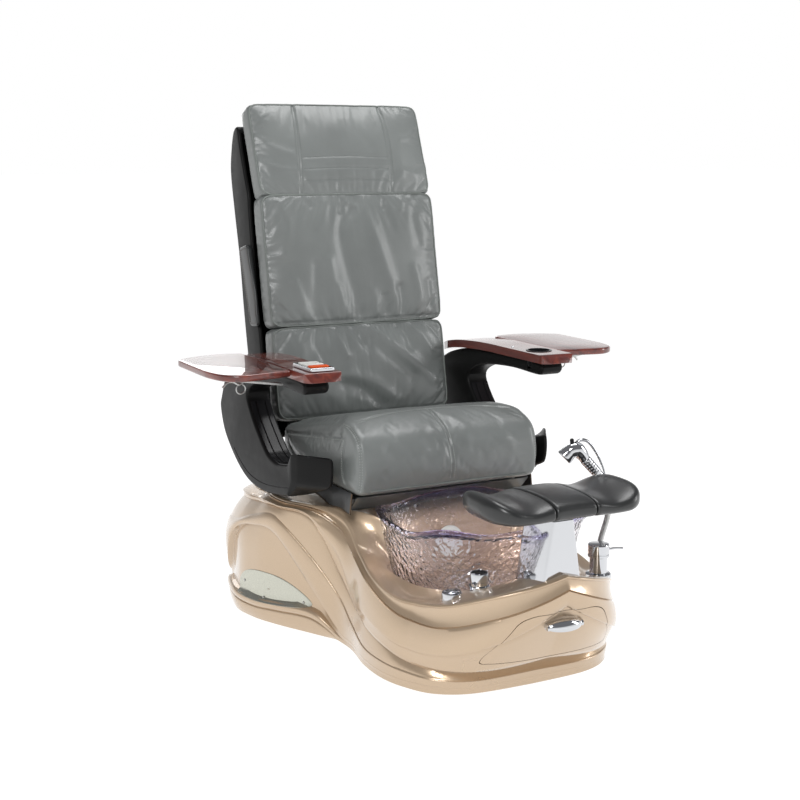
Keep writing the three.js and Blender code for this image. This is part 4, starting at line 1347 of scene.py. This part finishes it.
def rest_pad(x0, x1, start_round, end_round):
    """Part of the foam pad between two places across, with its ends rounded over."""
    turn = np.linspace(0, 2 * math.pi, ROUND_SIDES, endpoint=False)
    stops = [x0 + start_round * (1 - math.cos(t)) for t in np.linspace(0, math.pi / 2, 9)]
    stops += list(np.linspace(x0 + start_round, x1 - end_round, 34))[1:-1]
    stops += [x1 - end_round * (1 - math.cos(t)) for t in np.linspace(math.pi / 2, 0, 9)]
    rings = []
    for x in stops:
        edge = max(0.0, (abs(x) - 150) / (REST_REACH - 150))
        half = REST_HALF * math.sqrt(max(0.12, 1 - 0.9 * edge * edge))
        low, top = 458.6 + 14 * edge * edge, rest_top(x)
        near_start = max(0.0, 1 - (x - x0) / start_round)
        near_end = max(0.0, 1 - (x1 - x) / end_round)
        start_cut = start_round * (1 - math.sqrt(1 - near_start**2))
        end_cut = end_round * (1 - math.sqrt(1 - near_end**2))
        cut_in = min(start_cut + end_cut, (top - low) * 0.42)
        c, s = np.cos(turn), np.sin(turn)
        y = REST_Y + (half - cut_in) * np.sign(c) * np.abs(c) ** 0.55
        z = (low + top) / 2 + ((top - low) / 2 - cut_in) * np.sign(s) * np.abs(s) ** 0.62
        crown = 5 * (1 - ((y - REST_Y) / half) ** 2) * (s > 0)
        rings.append(np.column_stack([np.full(ROUND_SIDES, x), y, z + crown - 5 * (s > 0)]))
    return loft(rings)


def rounded_box_ring(x, y0, y1, z, radius):
    plan = rounded([(-x, y0), (x, y0), (x, y1), (-x, y1)], radius, 7)
    return in_plan(plan[:, 0], plan[:, 1], z)


def foot_rest():
    for name, x0, x1, a, b in (("right", -214, -57.5, 24, 7), ("middle", -55.5, 55.5, 7, 7),
                               ("left", 57.5, 214, 7, 24)):
        pad = piece(f"foot_pad_{name}", rest_pad(x0, x1, a, b), "foam", "footrest", 60)
        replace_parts(pad, f"footrest_pad_{name}")
    rings = []
    for u in np.linspace(-0.05, 1, 12):
        rings.append(rounded_box_ring(56 - 26 * u, -672, -546, 276 + u * 173, 8))
    rings.append(rounded_box_ring(28.5, -670.5, -547.5, 450.4, 7))
    pedestal = piece("foot_rest_pedestal", loft(rings), "chrome", "base", 30)
    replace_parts(pedestal, "footrest_pedestal")


foot_rest()


# ---------- foot bath ----------

BOWL_RIM = (262, 205, 385)
BOWL_SIDES = 240
RIM_WAVE = 9
JET_AT, JET_AXIS = (0, -126, 268), (0, -0.977, 0.209)


def bowl_ring(share, z, inward, wave, dimple=0.0):
    turn = np.linspace(0, 2 * math.pi, BOWL_SIDES, endpoint=False)
    hammer = dimple * (np.sin(turn * 46 + 1.7 * np.sin(z / 6.5)) * np.sin(z / 5.2 + 1.3 * np.sin(turn * 19))
                       + 0.5 * np.sin(turn * 71 + z / 3.1))
    rx, ry = BOWL_RIM[0] * share - inward + hammer, BOWL_RIM[1] * share - inward + hammer
    height = z + wave * RIM_WAVE * np.sin(5 * turn + 0.6)
    return np.column_stack([rx * squared(np.cos(turn)), BOWL[1] + ry * squared(np.sin(turn)), height])


def bowl_wall(z):
    return float(np.interp(z, [196, 200, 232, 290, 340, 374], [0.70, 0.80, 0.86, 0.91, 0.95, 0.99]))


def glass_bowl():
    rings = [bowl_ring(0.5, 196.4, 0, 0)]
    for z in [196, 197.5, 200, 204] + list(np.linspace(209, 372, 42)):
        rings.append(bowl_ring(bowl_wall(z), z, 0, float(ease(z, 330, 374)),
                               0.9 * float(ease(z, 205, 215) * (1 - ease(z, 352, 366)))))
    for t in np.linspace(-0.35, 3.5, 16):
        rings.append(bowl_ring(1.0, 382.5 + 8.0 * math.sin(t), 3 - 8.0 * math.cos(t), 1))
    for z in list(np.linspace(370, 214, 40)):
        rings.append(bowl_ring(bowl_wall(z), z, 8, float(ease(z, 330, 374)),
                               0.9 * float(ease(z, 218, 230) * (1 - ease(z, 352, 366)))))
    rings += [bowl_ring(0.76, 207.5, 8, 0), bowl_ring(0.70, 206, 10, 0), bowl_ring(0.5, 205.6, 0, 0)]
    bowl = piece("foot_bowl", loft(rings), "glass", "base", 60)
    carve(bowl, lathe([(24, 180), (24, 230)], (0, BOWL[1], 0), sides=48))
    smooth(bowl, 60)
    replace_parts(bowl, "glass_bowl")
    drain = [(19, 173), (23.5, 173), (23.5, 207), (30.5, 207), (31.5, 208.4), (30, 210), (26, 210.6),
             (19, 210.2)]
    drain_ring = turned_ring(drain, (0, BOWL[1], 0), ROUND_SIDES)
    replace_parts(piece("bowl_drain", drain_ring, "chrome", "base", 30), "drain_fitting")
    cap = [(5, 190), (5, 210.8), (23.4, 210.8), (24, 211.6), (23.6, 213), (18, 216.6), (9, 218.4),
           (6, 218.2), (5, 219.2), (0.4, 219.6)]
    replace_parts(piece("bowl_stopper", lathe(cap, (0, BOWL[1], 0), sides=ROUND_SIDES), "chrome", "stopper",
                      30), "drain_stopper")
    dome = [(38, 0), (38, 5), (37, 8), (34, 10.5), (27, 12.2), (26, 11.6), (20, 12.8), (12, 13.6),
            (11, 13.0), (0.5, 13.6)]
    cover = piece("jet_grille", lathe(dome, JET_AT, JET_AXIS, sides=ROUND_SIDES), "white", "base", 30)
    for n in range(10):
        turn = n * math.pi / 5
        side = np.array([math.cos(turn), 0.209 * math.sin(turn), 0.977 * math.sin(turn)])
        mid = np.array(JET_AT) + side * 23
        carve(cover, lathe([(2.6, -30), (2.6, 30)], mid, JET_AXIS, sides=12))
    smooth(cover, 30)
    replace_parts(cover, "jet_cover")


def bath_well():
    """The moulded basin that the glass bowl stands in, seen through the glass."""
    turn = np.linspace(0, 2 * math.pi, BOWL_SIDES, endpoint=False)
    across, along = squared(np.cos(turn)), squared(np.sin(turn))
    rings = []
    for grow, z in ((8, 231), (4, 229), (1, 222), (-3, 212), (-10, 203), (-24, 196), (-60, 193.5),
                    (-150, 193), (-150, 190),
                    (-60, 190.4), (-22, 192.4), (-6, 200), (4, 211), (8, 222)):
        rx, ry = max(WELL[0] + grow, 30), max(WELL[1] + grow, 27)
        rings.append(np.column_stack([rx * across, BOWL[1] + ry * along, np.full(BOWL_SIDES, z)]))
    piece("bath_basin", loft(rings, closed=True), "gelcoat", "base", 40)


glass_bowl()
bath_well()


# ---------- deck controls and hand shower ----------

KNOB, BUTTON, MIXER, HOSE = (-128, -500, 260), (-194, -482, 243), (196, -540, 252), (222, -500, 238)


def at(centre, *profile):
    return lathe(profile, centre, sides=ROUND_SIDES)


def controls():
    ring = at(BUTTON, (25.5, -16), (25.5, 4), (24.6, 6.4), (22.4, 8), (20, 8.2), (18.2, 7), (17.2, 5),
              (0.5, 5))
    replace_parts(piece("bath_button_ring", ring, "chrome", "base", 30), "air_button_ring")
    top = at(BUTTON, (16.4, 5.4), (16.4, 9), (15.4, 10.6), (13, 11.2), (10, 10.8), (9.2, 11.2), (0.4, 11.8))
    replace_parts(piece("bath_button_cap", top, "chrome", "air_button", 30), "air_button")
    collar = at(KNOB, (26.5, -18), (26.5, 2), (25.4, 3.6), (24, 4), (0.5, 4))
    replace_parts(piece("knob_base", collar, "chrome", "base", 30), "knob_collar")
    knob = at(KNOB, (21.6, 4.4), (22, 5), (22.2, 13), (23, 14), (23.2, 32), (22.2, 34.6), (20.4, 35.8),
              (19.6, 34.6), (0.5, 34.4))
    nub = sweep([(KNOB[0] - 19, KNOB[1] - 12, KNOB[2] + 12), (KNOB[0] - 27, KNOB[1] - 17, KNOB[2] + 10)],
                (5.2, 4.0), 18)
    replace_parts(piece("deck_knob", merged(knob, nub), "chrome", "knob", 30), "diverter_knob")
    piece("deck_knob_top", at(KNOB, (19.2, 34.0), (19.2, 34.8), (18.4, 35.4), (0.5, 35.7)), "gloss", "knob",
          30)
    body = at(MIXER, (33, -22), (33, 4), (32, 7), (29.5, 9), (24, 9.4), (22.4, 10.4), (22, 13), (22, 50),
              (0.5, 50))
    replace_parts(piece("mixer_base", body, "chrome", "base", 30), "mixer_body")
    cap = at(MIXER, (26.4, 50.6), (27, 51.4), (27, 56.6), (25.8, 57.4), (25.8, 59.6), (27, 60.4), (27, 81),
             (25.6, 83.4), (22, 84),
             (0.5, 84.4))
    x, y, z = MIXER
    handle = spline([(x + 20, y, z + 63), (x + 36, y - 3, z + 66), (x + 52, y - 6, z + 66),
                     (x + 68, y - 8, z + 64)], 24)
    lever = sweep(handle, np.interp(np.arange(24), [0, 18, 23], [3.4, 2.6, 3.2]), 16)
    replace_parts(piece("mixer_handle", merged(cap, lever), "chrome", "mixer_lever", 30), "mixer_lever")


GRIP_START, GRIP_END = (228.2, -511.8, 488), (172, -502, 549)


def hand_shower():
    route = spline([(221, -500, 232), HOSE, (226, -502, 320), (242, -511, 396), (243, -514, 448),
                    (231, -512, 486)], 520)
    ribs = 6.7 + 0.75 * np.abs(np.sin(np.arange(520) * math.pi / 8))
    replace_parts(piece("shower_gooseneck", sweep(route, ribs, 20), "steel", "base", 70), "metal_hose")
    start, end = np.array(GRIP_START), np.array(GRIP_END)
    share = np.linspace(0, 1, 60)
    line = start + np.outer(share, end - start)
    radius = np.interp(share, [0, 0.04, 0.08, 0.16, 0.2, 0.36, 0.4, 0.9, 1.0],
                       [8.6, 10, 10, 9.4, 11.4, 12.2, 13.4, 14.2, 13])
    radius = radius - 0.9 * ((np.arange(60) % 6) == 3) * (share > 0.4)
    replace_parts(piece("shower_grip", sweep(line, radius, 32), "chrome", "base", 30), "shower_handle")
    neck = spline([(173, -502.5, 548), (166, -500, 560), (153, -497, 572), (138, -492, 568),
                   (122, -486, 552)], 40)
    head = sweep(neck, np.interp(np.linspace(0, 1, 40), [0, 0.2, 0.45, 0.7, 0.92, 0.97, 1.0],
                                 [13, 17, 20, 19, 21.5, 21.5, 19]), 36)
    arch = spline([(146, -499, 588), (158, -504, 598), (178, -509, 592), (200, -513, 564), (219, -516, 526),
                   (228, -515, 503)], 60)
    bar = sweep(arch, np.interp(np.linspace(0, 1, 60), [0, 0.15, 0.7, 1.0], [6, 7.5, 5, 3.4]), 18, 0.6)
    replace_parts(piece("shower_spray_head", merged(head, bar), "chrome", "base", 40), "shower_head")
    trigger = lathe([(5.2, -12), (5.2, 1), (4.4, 3.6), (2.6, 5), (0.3, 5.4)], (139.5, -494, 596.5),
                    (-0.1, 0, 1), sides=28)
    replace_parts(piece("shower_button", trigger, "gloss", "shower_trigger", 30), "shower_trigger")


controls()
hand_shower()


def pull_cup():
    """Half-shell finger pull, open underneath, growing out of the drawer's face."""
    rings = []
    turn = np.radians(np.linspace(62, 206, 20))
    for x in 52 * np.sin(np.linspace(-math.pi / 2, math.pi / 2, 46)):
        s = max(0.10, math.sqrt(max(0, 1 - (x / 52) ** 2)))
        outer = np.column_stack([-676 + 29 * s * np.cos(turn), 196 + 21 * s * np.sin(turn)])
        thin = max(0.5, s - 0.14)
        inner = np.column_stack([-676 + 29 * thin * np.cos(turn[::-1]),
                                 196 + 21 * thin * np.sin(turn[::-1]) - 1.0 * s])
        side = np.vstack([outer, inner]) if s > 0.2 else np.vstack([outer, outer[::-1] + (0.8, -0.8)])
        rings.append(from_side(side[:, 0], side[:, 1], x))
    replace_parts(piece("drawer_finger_pull", loft(rings), "chrome", "drawer", 40), "drawer_pull")


pull_cup()


# ---------- back shell, pockets and side plates ----------

SHELL_SIDE = [(668, 1376), (700, 1366), (722, 1310), (730, 1240), (706, 1130), (668, 980), (640, 820),
              (600, 640),
              (560, 520), (520, 470), (470, 468), (474, 540), (512, 760), (530, 820), (560, 980), (584, 1130),
              (590, 1180), (616, 1240), (648, 1320)]
SHELL_INSIDE = [(600, 1366), (676, 1360), (706, 1306), (716, 1240), (694, 1130), (656, 982), (628, 822),
                (588, 644),
                (548, 528), (516, 482), (440, 478), (330, 560), (330, 1300), (480, 1366)]
SHELL_REAR = [(562, 560), (600, 660), (640, 828), (668, 985), (700, 1115), (724, 1225)]


def back_shell():
    outer = slab(spline(SHELL_SIDE, 200, closed=True), -292, 292, 6, from_side, 4)
    shell = piece("back_moulding", outer, "plastic", "back", 40)
    carve(shell, slab(np.array(SHELL_INSIDE, float), -282, 282, 0.0, from_side, 1))
    line = spline(SHELL_REAR, 90)
    away = np.stack([np.gradient(line[:, 1]), -np.gradient(line[:, 0])], 1)
    away /= np.linalg.norm(away, axis=1, keepdims=True)
    for n in range(7):
        here, out = line[60 + n * 3], away[60 + n * 3]
        slot_line = [(x, here[0] + out[0] * 1.5, here[1] + out[1] * 1.5) for x in np.linspace(-96, 96, 9)]
        carve(shell, sweep(slot_line, 3.0, 10))
    for x in (-206, 206):
        seam = np.column_stack([np.full(90, x), line + away * 1.2])
        carve(shell, sweep(seam[::3], 2.4, 8))
    smooth(shell, 40)
    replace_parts(shell, "back_shell")


POCKET = [(498, 800), (560, 792), (630, 1020), (560, 1036)]


def pockets():
    outline = denser(rounded(POCKET, 16, 6), 14)
    shape = slab(outline, 292.4, 303, 4.5, from_side, 4)
    verts = shape[0].copy()
    flare = ease(verts[:, 2], 930, 1030) * ease(verts[:, 0], 292.4, 300)
    verts[:, 0] += 8 * flare + 1.6 * np.sin(verts[:, 2] / 21) * ease(verts[:, 0], 292.4, 300)
    bags = both("shell_pocket", (verts, shape[1]), "hide", ("back", "back"), 50)
    edge = inset(outline, 9)
    edge_path = np.column_stack([np.full(len(edge), 302.0), edge])
    for obj, side_name, sign in zip(bags, ("left", "right"), (1, -1)):
        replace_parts(obj, f"side_pocket_{side_name}")
        sewn(f"shell_pocket_stitches_{side_name}", obj, "back", [(edge_path * (sign, 1, 1), (sign, 0, 0))],
             "brown_piping")


PLATE_LINE = [(336, 88), (300, 124), (240, 140), (160, 138), (96, 116), (48, 80), (100, 66), (210, 58),
              (316, 62)]


def side_plates():
    """Brushed leaf-shaped plates bent to the flank recess, each with small screws."""
    tree = surface_tree(bpy.data.objects["base_moulding"])
    leaf = spline(PLATE_LINE, 90, closed=True)
    centre = np.array([190.0, 96.0])
    for sign, side_name in ((1, "left"), (-1, "right")):
        rings = []
        for share, lift in ((1.0, -1.5), (1.0, 1.0), (0.985, 1.7), (0.9, 1.8), (0.7, 1.8), (0.45, 1.8),
                            (0.2, 1.8), (0.03, 1.8)):
            line = centre + (leaf - centre) * share
            path = np.column_stack([np.full(len(line), sign * 420.0), line])
            hits, _ = laid_on(tree, path, (sign, 0, 0))
            rings.append(hits + (sign * lift, 0, 0))
        plate = piece(f"side_plate_{side_name}", loft(rings, caps=False), "plate", "base", 40)
        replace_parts(plate, f"flank_badge_{side_name}")
        screws = []
        for y, z in ((300, 96), (74, 82), (208, 68)):
            hits, _ = laid_on(tree, [(sign * 420.0, y, z)], (sign, 0, 0))
            screws.append(lathe(domed(4.0, 0, 3.6, 1.2), hits[0], (sign, 0, 0), sides=20))
        piece(f"side_plate_screws_{side_name}", merged(*screws), "steel", "base", 40)


back_shell()
pockets()
side_plates()


# ---------- what is still to be dressed from the frame ----------

NODE_PAINTS = {
    "gelcoat": "gelcoat", "grey_leather": "leather", "dark_leather": "hide", "black_plastic": "plastic",
    "cherry": "cherry", "chrome": "chrome", "brushed_plate": "plate", "steel": "steel",
    "bowl_glass": "glass", "black_foam": "foam", "white_plastic": "white", "orange_plastic": "orange",
}


def dress_frame():
    """Every CAD node that still shows gets its real finish and softened edges."""
    for part in frame["record"]["subparts"]:
        node = frame["nodes"][part["node"]]
        if not node.hide_render:
            dress(node, NODE_PAINTS[part["material_slot"]])
            soften(node, 1.0)


dress_frame()
